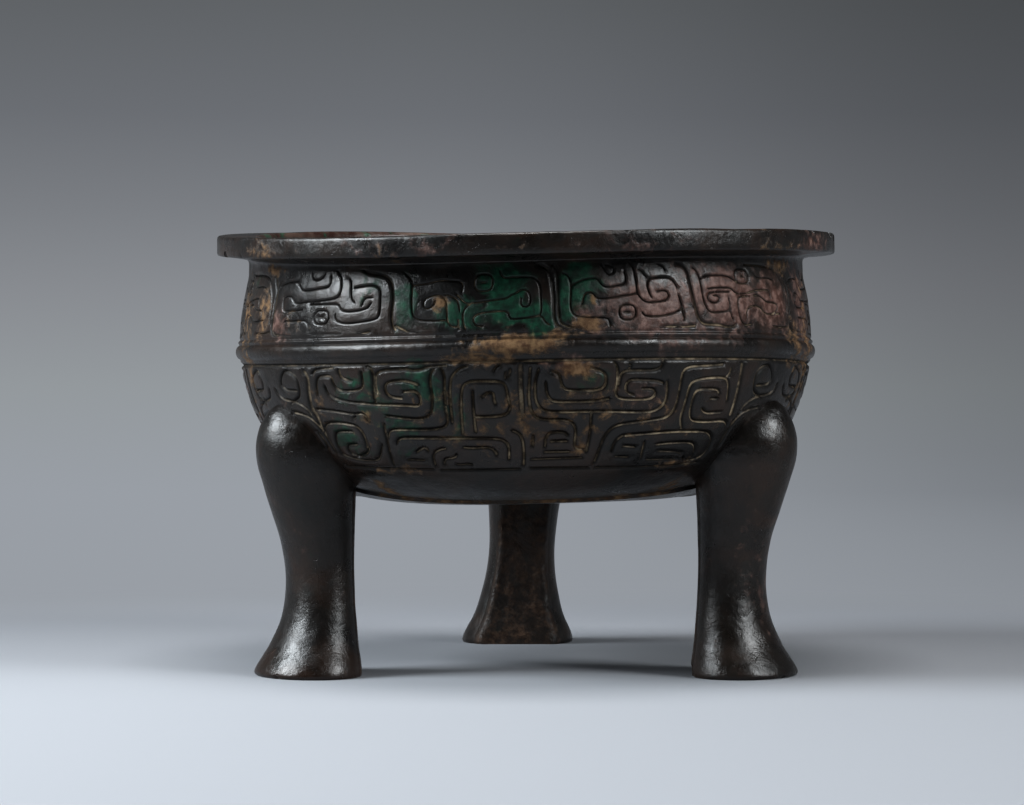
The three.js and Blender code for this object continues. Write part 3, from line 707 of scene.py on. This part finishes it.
def loss(azimuth, reach, height, size, seed):
    """A lumpy blob that takes a chip out of an edge."""
    bm = bmesh.new()
    bmesh.ops.create_icosphere(bm, subdivisions=3, radius=size)
    middle = at(azimuth, reach, height)
    for v in bm.verts:
        v.co *= 1 + LUMP * noise.noise(v.co * (LUMP_SCALE / size) + Vector((seed, 0, 0)))
        v.co += middle
    mesh = bpy.data.meshes.new("loss")
    bm.to_mesh(mesh)
    bm.free()
    return mesh


def combined(base, tools, operation):
    """The base mesh joined with, or cut by, the tool meshes."""
    target = new_object("work", base)
    made = [new_object("tool", mesh) for mesh in tools]
    for tool in made:
        modifier = target.modifiers.new("join", "BOOLEAN")
        modifier.operation = operation
        modifier.solver = "MANIFOLD"
        modifier.object = tool
    bpy.context.view_layer.update()
    evaluated = target.evaluated_get(bpy.context.evaluated_depsgraph_get())
    result = bpy.data.meshes.new_from_object(evaluated)
    for obj in [target, *made]:
        bpy.data.objects.remove(obj)
    return result


def coordinates(mesh):
    flat = np.empty(len(mesh.vertices) * 3)
    mesh.vertices.foreach_get("co", flat)
    return flat.reshape(-1, 3)


def polar(points):
    azimuth = np.degrees(np.arctan2(points[:, 0], -points[:, 1]))
    return azimuth, np.hypot(points[:, 0], points[:, 1]), points[:, 2]


# Spots of patina on the outside: azimuth, height, reach across and up in millimetres, strength.
GREEN = [
    (-4, 103, 8, 8, 1.0), (-12, 98, 8, 5, 0.8), (2, 97, 5, 6, 0.9), (10, 105, 6, 6, 0.95),
    (-23, 101, 4, 8, 0.7), (-30, 106, 6, 5, 0.45), (7, 100, 3, 9, 0.7), (-20, 79, 9, 7, 0.6),
    (-33, 77, 10, 8, 0.5), (-40, 65, 8, 6, 0.45), (-12, 70, 8, 8, 0.4), (-26, 70, 12, 10, 0.35),
    (-66, 34, 2, 3, 0.6), (12, 79, 7, 5, 0.35), (100, 100, 16, 9, 0.7), (165, 98, 20, 9, 0.6),
    (-110, 102, 18, 8, 0.7), (-150, 76, 20, 9, 0.6), (130, 72, 18, 9, 0.6),
]
RED = [
    (24, 99, 13, 9, 0.75), (40, 101, 16, 9, 0.85), (55, 100, 10, 9, 0.7), (-55, 96, 5, 5, 0.5),
    (12, 97, 8, 5, 0.5), (8, 84, 7, 3, 0.6), (22, 76, 8, 5, 0.35), (30, 89, 14, 3, 0.4),
    (-20, 119, 14, 4, 0.22), (20, 119, 18, 4, 0.25), (60, 30, 10, 16, 0.25), (64, 119, 12, 5, 0.42),
    (70, 100, 10, 14, 0.6), (-30, 121, 6, 4, 0.25), (-140, 101, 20, 9, 0.6), (120, 102, 18, 8, 0.5),
    (150, 80, 20, 6, 0.4), (-90, 80, 16, 8, 0.4),
]
EARTH = [
    (0, 71, 75, 13, 0.42), (-55, 119, 14, 5, 0.45), (50, 119, 16, 5, 0.4), (-25, 118, 5, 4, 0.4),
    (2, 119, 30, 3, 0.25), (-60, 113, 10, 4, 0.7), (60, 112, 10, 5, 0.6), (150, 119, 60, 4, 0.4),
    (-41, 51, 4, 4, 0.8), (43, 52, 5, 4, 0.6), (72, 90, 9, 26, 0.55), (-72, 92, 9, 26, 0.55),
    (69, 54, 4, 9, 0.55), (-16, 101, 3, 3, 0.8), (12, 101, 2, 3, 0.7), (11, 95, 6, 2.5, 0.8),
    (-2, 89.5, 14, 3.2, 1.0), (-8, 86, 12, 2.5, 0.7), (9, 83, 8, 3, 0.8), (5, 92, 10, 2, 0.6),
    (-50, 98, 6, 4, 0.5), (-62, 100, 6, 12, 0.6), (64, 90, 8, 14, 0.5), (-33, 71, 5, 5, 0.5),
    (-45, 75, 5, 6, 0.5), (10, 63, 6, 4, 0.5), (35, 58, 10, 2, 0.6), (-30, 57, 12, 2, 0.6),
    (-90, 90, 20, 8, 0.5), (170, 88, 30, 4, 0.6), (110, 86, 20, 5, 0.5),
]
# Where pale earth fills the grooves; elsewhere their bottoms are nearly black.
PALE = [
    (-14, 101, 14, 12, 0.9), (52, 101, 11, 12, 0.8), (9, 98, 5, 6, 0.6), (0, 70, 75, 20, 0.85),
    (36, 70, 20, 20, 1.0), (24, 76, 8, 8, 1.0), (-59, 103, 5, 10, 0.6), (0, 94, 80, 1.2, 0.7),
    (140, 98, 40, 14, 0.5), (180, 70, 80, 18, 0.6),
]


def patches(azimuth, z, spots):
    """The strongest of the soft spots at each point."""
    total = np.zeros(len(azimuth))
    for a, h, wide, tall, strength in spots:
        across = ((azimuth - a + 180) % 360 - 180) * ACROSS
        total = np.maximum(total, strength * np.exp(-((across / wide) ** 2) - ((z - h) / tall) ** 2))
    return total


# Azimuths between which the wall goes over from the front's way of tilting to the back's.
TILT_TURN = (70, 150)
# The sag grows up to this radius; the back leg leans between these depths and below this height.
SAG_RADIUS = 40
LEAN_DEPTHS = (30, 50)
LEAN_TOP = 46


def warped(points):
    """The casting as its worn mould left it: the rim's plane drops at the front, the wall sags."""
    azimuth, r, z = polar(points)
    angle = np.radians(azimuth)
    behind = smoothstep(*TILT_TURN, np.abs(azimuth))
    start = FRIEZE_HIGH[1] - behind * (FRIEZE_HIGH[1] - FRIEZE_HIGH[0])
    share = np.clip((z - start) / (NECK_TOP - start), 0, 1)
    drop = -RIM_TILT * np.cos(angle) * share
    sag = SADDLE * np.sin(2 * angle) * (z / FRIEZE_HIGH[1])
    result = points.copy()
    result[:, 2] += np.where(r > 1, drop + sag * np.clip(r / SAG_RADIUS, 0, 1), 0)
    back_leg = smoothstep(*LEAN_DEPTHS, points[:, 1]) * np.clip(1 - z / LEAN_TOP, 0, 1)
    result[:, 0] -= BACK_LEG_LEAN * back_leg
    return result


def hand_finish(point):
    """A broad and a fine swell of the surface."""
    return noise.noise(point * 0.045) * 0.28 + noise.noise(point * 0.19) * 0.09


def uneven(points):
    """Slight unevenness of a hand-finished surface, none at the feet's undersides."""
    offset = np.array([hand_finish(Vector(p)) for p in points])
    _, r, z = polar(points)
    offset *= smoothstep(0.2, 4, z)
    result = points.copy()
    result[:, :2] += (points[:, :2] / np.maximum(r, 1)[:, None]) * offset[:, None]
    rim = smoothstep(116.5, 118, z)
    result[:, 2] += rim * 0.5 * offset - 0.3 * rim * np.abs(offset)
    return result


# What counts as outside and as the wall: distances from the profile's radius, and the least height.
OUTSIDE_DEPTH = 2.0
ON_WALL = 0.35
WALL_FOOT = 50
INSIDE_FOOT = 48.5
# A groove's colour reaches this many half widths.
GROOVE_COLOUR = 1.7
# A leg's inner face: distance from its plane, half width and top.
FACE_NEAR = 1.2
FACE_HALF = 18
FACE_TOP = 51
# The pad's edge and the line beside it: width, distance, width and strength, then the limits of both.
SEAM_WIDTH = 0.7
SECOND_SEAM = (3.2, 0.5, 0.6)
SEAM_TOP = 53
SEAM_TURN = 48


def groove_mask(azimuth, s, on_wall, z, near_low, near_high):
    """1 in the middle of a groove, 0 beside it."""
    mask = np.zeros(len(z))
    bands = ((near_low, GROOVE_LOW, COLOURED_LOW), (near_high, GROOVE_HIGH, COLOURED_HIGH))
    for near, groove, (low, high) in bands:
        chosen = np.where(on_wall & (z > low) & (z < high))[0]
        d = near.distance(placed(azimuth[chosen], s[chosen], 0))
        mask[chosen] = 1 - np.clip(d / (GROOVE_COLOUR * groove.half), 0, 1)
    return mask


def leg_face_mask(points):
    """1 on the legs' flat inner faces."""
    mask = np.zeros(len(points))
    for axis in LEG_AXES:
        a = math.radians(axis)
        out = points[:, 0] * math.sin(a) - points[:, 1] * math.cos(a)
        across = points[:, 0] * math.cos(a) + points[:, 1] * math.sin(a)
        face = (np.abs(out - LEG_REACH) < FACE_NEAR) & (np.abs(across) < FACE_HALF)
        mask = np.maximum(mask, (face & (points[:, 2] < FACE_TOP)) * 1.0)
    return mask


def pad_seam_mask(azimuth, r, z):
    """1 along the pad's edge under the bowl, less along the line beside it."""
    off = r - pad_reach(azimuth)
    distance, width, strength = SECOND_SEAM
    seam = bell(off / SEAM_WIDTH) + strength * bell((off - distance) / width)
    return seam * (z < SEAM_TOP) * (np.abs(from_side(azimuth)) < SEAM_TURN)


def masks_of(points, near_low, near_high):
    """What the material reads at each vertex, by name."""
    azimuth, r, z = polar(points)
    s = along_of(z)
    outside = r > radius_of(s) - OUTSIDE_DEPTH
    on_wall = outside & (r < radius_of(s) + ON_WALL) & (z > WALL_FOOT)
    masks = {
        "pad_seam": pad_seam_mask(azimuth, r, z) * outside,
        "groove": groove_mask(azimuth, s, on_wall, z, near_low, near_high),
        "rough_face": leg_face_mask(points),
        "inside": (~outside & (z > INSIDE_FOOT)) * 1.0,
    }
    for name, spots in (("green", GREEN), ("red", RED), ("earth", EARTH), ("pale", PALE)):
        masks[name] = patches(azimuth, z, spots) * outside
    return masks


SHARP_ANGLE = math.radians(58)


def vessel():
    """The whole casting: bowl, pad and legs joined, then the cavity and the losses cut out."""
    upper, lower = frieze_strokes()
    near_high, near_low = Near(upper), Near(lower)
    legs = [leg(axis, i) for i, axis in enumerate(LEG_AXES)]
    solid = combined(casting(near_low, near_high, lower, upper), [casting_pad(), *legs], "UNION")
    losses = [loss(*spec, i) for i, spec in enumerate(LOSSES)]
    solid = combined(solid, [cavity(), *losses], "DIFFERENCE")
    points = coordinates(solid)
    masks = masks_of(points, near_low, near_high)
    solid.vertices.foreach_set("co", (warped(uneven(points)) * MM).ravel())
    solid.update()
    for name, values in masks.items():
        attribute = solid.attributes.new(name, "FLOAT", "POINT")
        attribute.data.foreach_set("value", values.astype(np.float32))
    solid.name = "vessel"
    solid.shade_smooth()
    solid.set_sharp_from_angle(angle=SHARP_ANGLE)
    return new_object("bronze_vessel", solid)


SCREEN_GAMMA = 2.2


def colour(r, g, b):
    """A colour given as it looks on screen, 0 to 255."""
    return tuple((v / 255) ** SCREEN_GAMMA for v in (r, g, b)) + (1.0,)


class Nodes:
    """Short ways to make shader nodes."""

    def __init__(self, name):
        self.material = bpy.data.materials.new(name)
        self.material.use_nodes = True
        self.tree = self.material.node_tree
        self.tree.nodes.clear()
        self.place = self.tree.nodes.new("ShaderNodeTexCoord").outputs["Object"]

    def node(self, kind, **inputs):
        made = self.tree.nodes.new(kind)
        for key, value in inputs.items():
            self.put(made.inputs[key.replace("_", " ")], value)
        return made

    def put(self, socket, value):
        if isinstance(value, bpy.types.NodeSocket):
            self.tree.links.new(value, socket)
        else:
            socket.default_value = value

    def attribute(self, name):
        made = self.tree.nodes.new("ShaderNodeAttribute")
        made.attribute_name = name
        return made.outputs["Fac"]

    def noise(self, scale, detail=4.0, rough=0.55, distortion=0.0):
        made = self.node("ShaderNodeTexNoise", Vector=self.place, Scale=scale, Detail=detail,
                         Roughness=rough, Distortion=distortion)
        return made.outputs["Fac"]

    def math(self, operation, a, b=0.0, c=0.0):
        made = self.tree.nodes.new("ShaderNodeMath")
        made.operation = operation
        for socket, value in zip(made.inputs, (a, b, c)):
            self.put(socket, value)
        return made.outputs[0]

    def chain(self, operation, first, *others):
        for other in others:
            first = self.math(operation, first, other)
        return first

    add = partialmethod(chain, "ADD")
    times = partialmethod(chain, "MULTIPLY")
    most = partialmethod(chain, "MAXIMUM")

    def span(self, value, low, high, to_low=0.0, to_high=1.0):
        """The value smoothly mapped from one span to another."""
        made = self.tree.nodes.new("ShaderNodeMapRange")
        made.interpolation_type = "SMOOTHSTEP"
        settings = {"Value": value, "From Min": low, "From Max": high, "To Min": to_low, "To Max": to_high}
        for key, setting in settings.items():
            self.put(made.inputs[key], setting)
        return made.outputs["Result"]

    def mix(self, share, a, b):
        made = self.tree.nodes.new("ShaderNodeMix")
        made.data_type = "RGBA"
        self.put(made.inputs["Factor"], share)
        self.put(made.inputs["A"], a)
        self.put(made.inputs["B"], b)
        return made.outputs["Result"]

    def tones(self, pattern, low, high, dark, light):
        """A colour that goes from dark to light as the pattern rises."""
        return self.mix(self.span(pattern, low, high), colour(*dark), colour(*light))

    def finish(self, shader):
        out = self.node("ShaderNodeOutputMaterial")
        self.put(out.inputs["Surface"], shader)
        return self.material


class Patina(Nodes):
    """Dark cast bronze and the layers on it, which follow the masks on the mesh."""

    def __init__(self):
        super().__init__("bronze_patina")
        self.broad = self.noise(28.0, 5.0, 0.6)
        self.medium = self.noise(110.0, 6.0, 0.62, 0.4)
        self.blotch = self.noise(150.0, 5.0, 0.6, 0.8)
        self.grain = self.noise(240.0, 8.0, 0.7, 0.3)
        self.fine = self.noise(480.0, 5.0, 0.6)
        self.speck = self.noise(900.0, 3.0, 0.7)

    def spotted(self, name, pattern, low, high, share):
        """A patch whose share of the surface follows its mask and breaks up into spots."""
        level = self.math("MULTIPLY_ADD", self.attribute(name), 0.75, self.times(pattern, 1.2))
        return self.times(self.span(level, low, high), share)

    def bare(self):
        """The casting's own colour, with rusty, greenish and light tinges."""
        base = self.tones(self.broad, 0.35, 0.7, (21, 19, 18), (36, 31, 27))
        rust = self.span(self.noise(55.0, 5.0, 0.6, 0.5), 0.45, 0.66, 0.0, 0.55)
        base = self.mix(rust, base, colour(52, 37, 28))
        base = self.mix(self.span(self.medium, 0.52, 0.75, 0.0, 0.6), base, colour(17, 24, 22))
        return self.mix(self.span(self.fine, 0.55, 0.8, 0.0, 0.4), base, colour(62, 50, 42))

    def with_inside(self, base):
        """Reddish brown with spots of green on the bowl's inside."""
        inside = self.attribute("inside")
        base = self.mix(inside, base, self.tones(self.medium, 0.4, 0.65, (56, 38, 33), (84, 68, 60)))
        green = self.times(inside, self.span(self.blotch, 0.54, 0.64, 0.0, 0.7))
        return self.mix(green, base, self.tones(self.fine, 0.35, 0.7, (20, 62, 46), (52, 104, 82)))

    def surface(self):
        """The material's shader."""
        fine = self.fine
        groove = self.span(self.attribute("groove"), 0.1, 0.6)
        core = self.span(self.attribute("groove"), 0.5, 0.86)
        base = self.with_inside(self.bare())

        red = self.spotted("red", self.grain, 0.72, 1.14, 0.8)
        base = self.mix(red, base, self.tones(fine, 0.4, 0.65, (84, 56, 47), (132, 104, 95)))
        green = self.spotted("green", self.blotch, 0.8, 1.06, 0.9)
        base = self.mix(green, base, self.tones(fine, 0.35, 0.7, (8, 40, 29), (20, 74, 54)))

        filled = self.span(self.noise(140.0, 5.0, 0.65), 0.4, 0.62, 0.12, 1.0)
        cream = self.times(core, self.attribute("pale"), filled)
        dark_line = self.times(groove, self.math("SUBTRACT", 1.0, cream))
        base = self.mix(self.times(dark_line, 0.85), base, colour(16, 13, 11))

        earth = self.spotted("earth", self.grain, 0.86, 1.14, 0.85)
        # The legs' inner faces: a brown crust of corrosion, its tones lowered partly as painted shade, since the
        # back leg's face stands in shadow under the bowl.
        stain_and_shade = self.span(self.noise(170.0, 6.0, 0.7), 0.4, 0.62, 0.1, 0.7)
        face = self.times(self.attribute("rough_face"), stain_and_shade)
        silted = self.span(self.noise(210.0, 4.0, 0.6), 0.42, 0.6, 0.1, 0.8)
        seam = self.times(self.attribute("pad_seam"), silted)
        dirt = self.most(earth, seam, cream)
        base = self.mix(dirt, base, self.tones(fine, 0.3, 0.7, (78, 57, 41), (134, 108, 80)))
        cream_tones = self.tones(fine, 0.3, 0.7, (132, 118, 96), (196, 184, 158))
        base = self.mix(self.times(cream, 0.8), base, cream_tones)
        # The inner faces' crust colour, partly painted shade.
        base = self.mix(face, base, self.tones(fine, 0.35, 0.7, (46, 33, 26), (92, 72, 58)))
        pits = self.span(self.speck, 0.66, 0.74)
        base = self.mix(self.times(pits, 0.5), base, colour(18, 14, 12))

        thin = self.most(self.times(green, 0.5), self.times(red, 0.45), self.times(dark_line, 0.7))
        crust = self.most(dirt, face, thin)
        metal = self.times(self.math("SUBTRACT", 1.0, crust), 0.06)
        gloss = self.math("SUBTRACT", 0.5, self.times(crust, 0.35))
        shader = self.node("ShaderNodeBsdfPrincipled", Base_Color=base, Metallic=metal, Specular_IOR_Level=gloss,
                           Roughness=self.roughness(crust), Normal=self.bump(crust, pits))
        return shader.outputs["BSDF"]

    def roughness(self, crust):
        smooth = self.span(self.medium, 0.3, 0.75, 0.25, 0.42)
        return self.add(smooth, self.times(crust, 0.4), self.span(self.fine, 0.5, 0.8, 0.0, 0.1))

    def bump(self, crust, pits):
        """Fine pitting, rougher on crusts and on the legs' inner faces."""
        height = self.add(self.times(self.medium, 0.6), self.times(self.fine, 0.3))
        height = self.math("SUBTRACT", height, self.times(pits, 0.22))
        rough_face = self.times(self.attribute("rough_face"), self.medium, 2.0)
        scratches = self.times(self.noise(230.0, 6.0, 0.7, 0.6), 0.7)
        height = self.add(height, self.times(crust, self.speck, 0.8), rough_face, scratches)
        made = self.node("ShaderNodeBump", Strength=0.75, Distance=0.00045, Height=height)
        return made.outputs["Normal"]


def bronze():
    patina = Patina()
    return patina.finish(patina.surface())


# From here on lengths are metres. The sweep's profile: radius and height.
SWEEP_ROWS = [
    (0.15, 0.0), (0.3, 0.0), (0.45, 0.0), (0.7, 0.0), (1.1, 0.0), (1.5, 0.0), (1.75, 0.03),
    (1.95, 0.12), (2.1, 0.3), (2.15, 0.6), (2.15, 1.2), (2.15, 2.2),
]
SWEEP_POINTS = 72
# The floor's colour at the front and at the back; the darker back is painted shade, a falloff of light behind
# the object.
FLOOR_FRONT = (0.292, 0.301, 0.32, 1)
FLOOR_BACK_PAINTED_SHADE = (0.198, 0.206, 0.222, 1)
# Black, mixed into the floor's colour as painted shade on the right.
BLACK = (0, 0, 0, 1)
# The wall glows: its painted light as a tone on the screen, 0 to 255, at heights, darker upwards.
PAINTED_WALL_LIGHT = [
    (0.0, (149, 154, 161)), (0.09, (144, 149, 153)), (0.186, (133, 136, 141)), (0.272, (120, 123, 128)),
    (0.381, (104, 107, 112)), (0.52, (92, 95, 98)), (0.9, (78, 80, 83)),
]
CONTRAST = 0.85


def sweep_mesh():
    """A round floor that curves up into a wall."""
    verts, faces = [(0.0, 0.0, 0.0)], []
    for r, z in SWEEP_ROWS:
        for k in range(SWEEP_POINTS):
            a = 2 * math.pi * k / SWEEP_POINTS
            verts.append((r * math.cos(a), r * math.sin(a), z))
    for k in range(SWEEP_POINTS):
        faces.append((0, 1 + k, 1 + (k + 1) % SWEEP_POINTS))
    for i in range(len(SWEEP_ROWS) - 1):
        first = 1 + i * SWEEP_POINTS
        second = first + SWEEP_POINTS
        for k in range(SWEEP_POINTS):
            j = (k + 1) % SWEEP_POINTS
            faces.append((first + k, second + k, second + j, first + j))
    mesh = bpy.data.meshes.new("sweep")
    mesh.from_pydata(verts, [], faces)
    mesh.update()
    mesh.shade_smooth()
    return mesh


def paper():
    """A pale floor that goes over into a greyer wall. The floor's colour carries painted shade, darker towards
    the back and to the right; the wall and the far floor glow with painted light, darker upwards, to the right
    and on the front's side.
    """
    n = Nodes("paper_sweep")
    apart = n.tree.nodes.new("ShaderNodeSeparateXYZ")
    n.put(apart.inputs[0], n.place)
    x, y, z = (apart.outputs[k] for k in "XYZ")
    # The floor's colour darkens towards the back: painted shade.
    floor = n.mix(n.span(y, -0.12, 0.19), FLOOR_FRONT, FLOOR_BACK_PAINTED_SHADE)
    # The floor's colour darkens to the right: painted shade.
    shaded = n.mix(0.18, floor, BLACK)
    diffuse = n.node("ShaderNodeBsdfDiffuse", Color=n.mix(n.span(x, -0.15, 0.2), floor, shaded))
    ramp = n.tree.nodes.new("ShaderNodeValToRGB")
    stops = ramp.color_ramp.elements
    while len(stops) < len(PAINTED_WALL_LIGHT):
        stops.new(0.5)
    for stop, (height, tone) in zip(stops, PAINTED_WALL_LIGHT):
        stop.position = height
        stop.color = tuple((v / 255) ** (SCREEN_GAMMA * CONTRAST) for v in tone) + (1.0,)
    n.put(ramp.inputs[0], z)
    # The wall's glow is painted light, weaker to the right and on the front's side.
    strength = n.times(n.span(x, -0.15, 0.6, 1.03, 0.62), n.span(y, -1.2, 0.1, 0.22, 1.0))
    wall = n.node("ShaderNodeEmission", Color=ramp.outputs["Color"], Strength=strength)
    radius = n.math("SQRT", n.add(n.math("POWER", x, 2.0), n.math("POWER", y, 2.0)))
    # Further out the floor goes over into the same glow, painted light.
    mixed = n.tree.nodes.new("ShaderNodeMixShader")
    n.put(mixed.inputs[0], n.span(n.add(radius, n.times(y, 0.6)), 0.2, 0.5))
    n.put(mixed.inputs[1], diffuse.outputs["BSDF"])
    n.put(mixed.inputs[2], wall.outputs["Emission"])
    return n.finish(mixed.outputs["Shader"])


def studio():
    mesh = sweep_mesh()
    mesh.materials.append(paper())
    new_object("sweep", mesh)


OBJECT_MIDDLE = (0, 0, 0.07)
WORLD_COLOUR = (0.5, 0.52, 0.55, 1)
WORLD_STRENGTH = 0.03


def area(name, azimuth, distance, height, size, power, aim=OBJECT_MIDDLE, tint=(1, 1, 1)):
    """A soft box at an azimuth from the camera's side, aimed at the object."""
    light = bpy.data.lights.new(name, "AREA")
    light.shape = "RECTANGLE"
    light.size, light.size_y = size
    light.energy = power
    light.color = tint
    obj = new_object(name, light)
    obj.location = at(azimuth, distance, height)
    obj.rotation_euler = (Vector(aim) - obj.location).to_track_quat("-Z", "Y").to_euler()


def lighting():
    area("softbox_left", -76, 1.0, 0.75, (0.5, 0.7), 29, tint=(0.9, 0.96, 1))
    area("softbox_right", 60, 1.1, 0.7, (0.4, 0.6), 15, tint=(0.94, 0.98, 1))
    area("overhead", 0, 0.1, 1.5, (0.6, 0.6), 20, aim=(0, 0.05, 0))
    world = bpy.data.worlds.new("studio")
    world.use_nodes = True
    background = world.node_tree.nodes["Background"]
    background.inputs["Color"].default_value = WORLD_COLOUR
    background.inputs["Strength"].default_value = WORLD_STRENGTH
    bpy.context.scene.world = world


# The photo's width and the camera's focal length in its pixels, and where the camera stands.
PHOTO_WIDTH = 1024
FOCAL_LENGTH = 2700
SENSOR = 36
CAMERA_PLACE = (-0.00387, -0.775, 0.0746)


def camera():
    data = bpy.data.cameras.new("camera")
    data.sensor_width = SENSOR
    data.lens = FOCAL_LENGTH / PHOTO_WIDTH * SENSOR
    data.clip_start = 0.01
    obj = new_object("camera", data)
    obj.location = CAMERA_PLACE
    obj.rotation_euler = (math.pi / 2, 0, 0)
    bpy.context.scene.camera = obj


body = vessel()
body.data.materials.clear()
body.data.materials.append(bronze())
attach(body, "root")
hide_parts(NODE)
studio()
lighting()
camera()
bpy.context.scene.view_settings.view_transform = "Standard"
bpy.context.scene.view_settings.gamma = CONTRAST
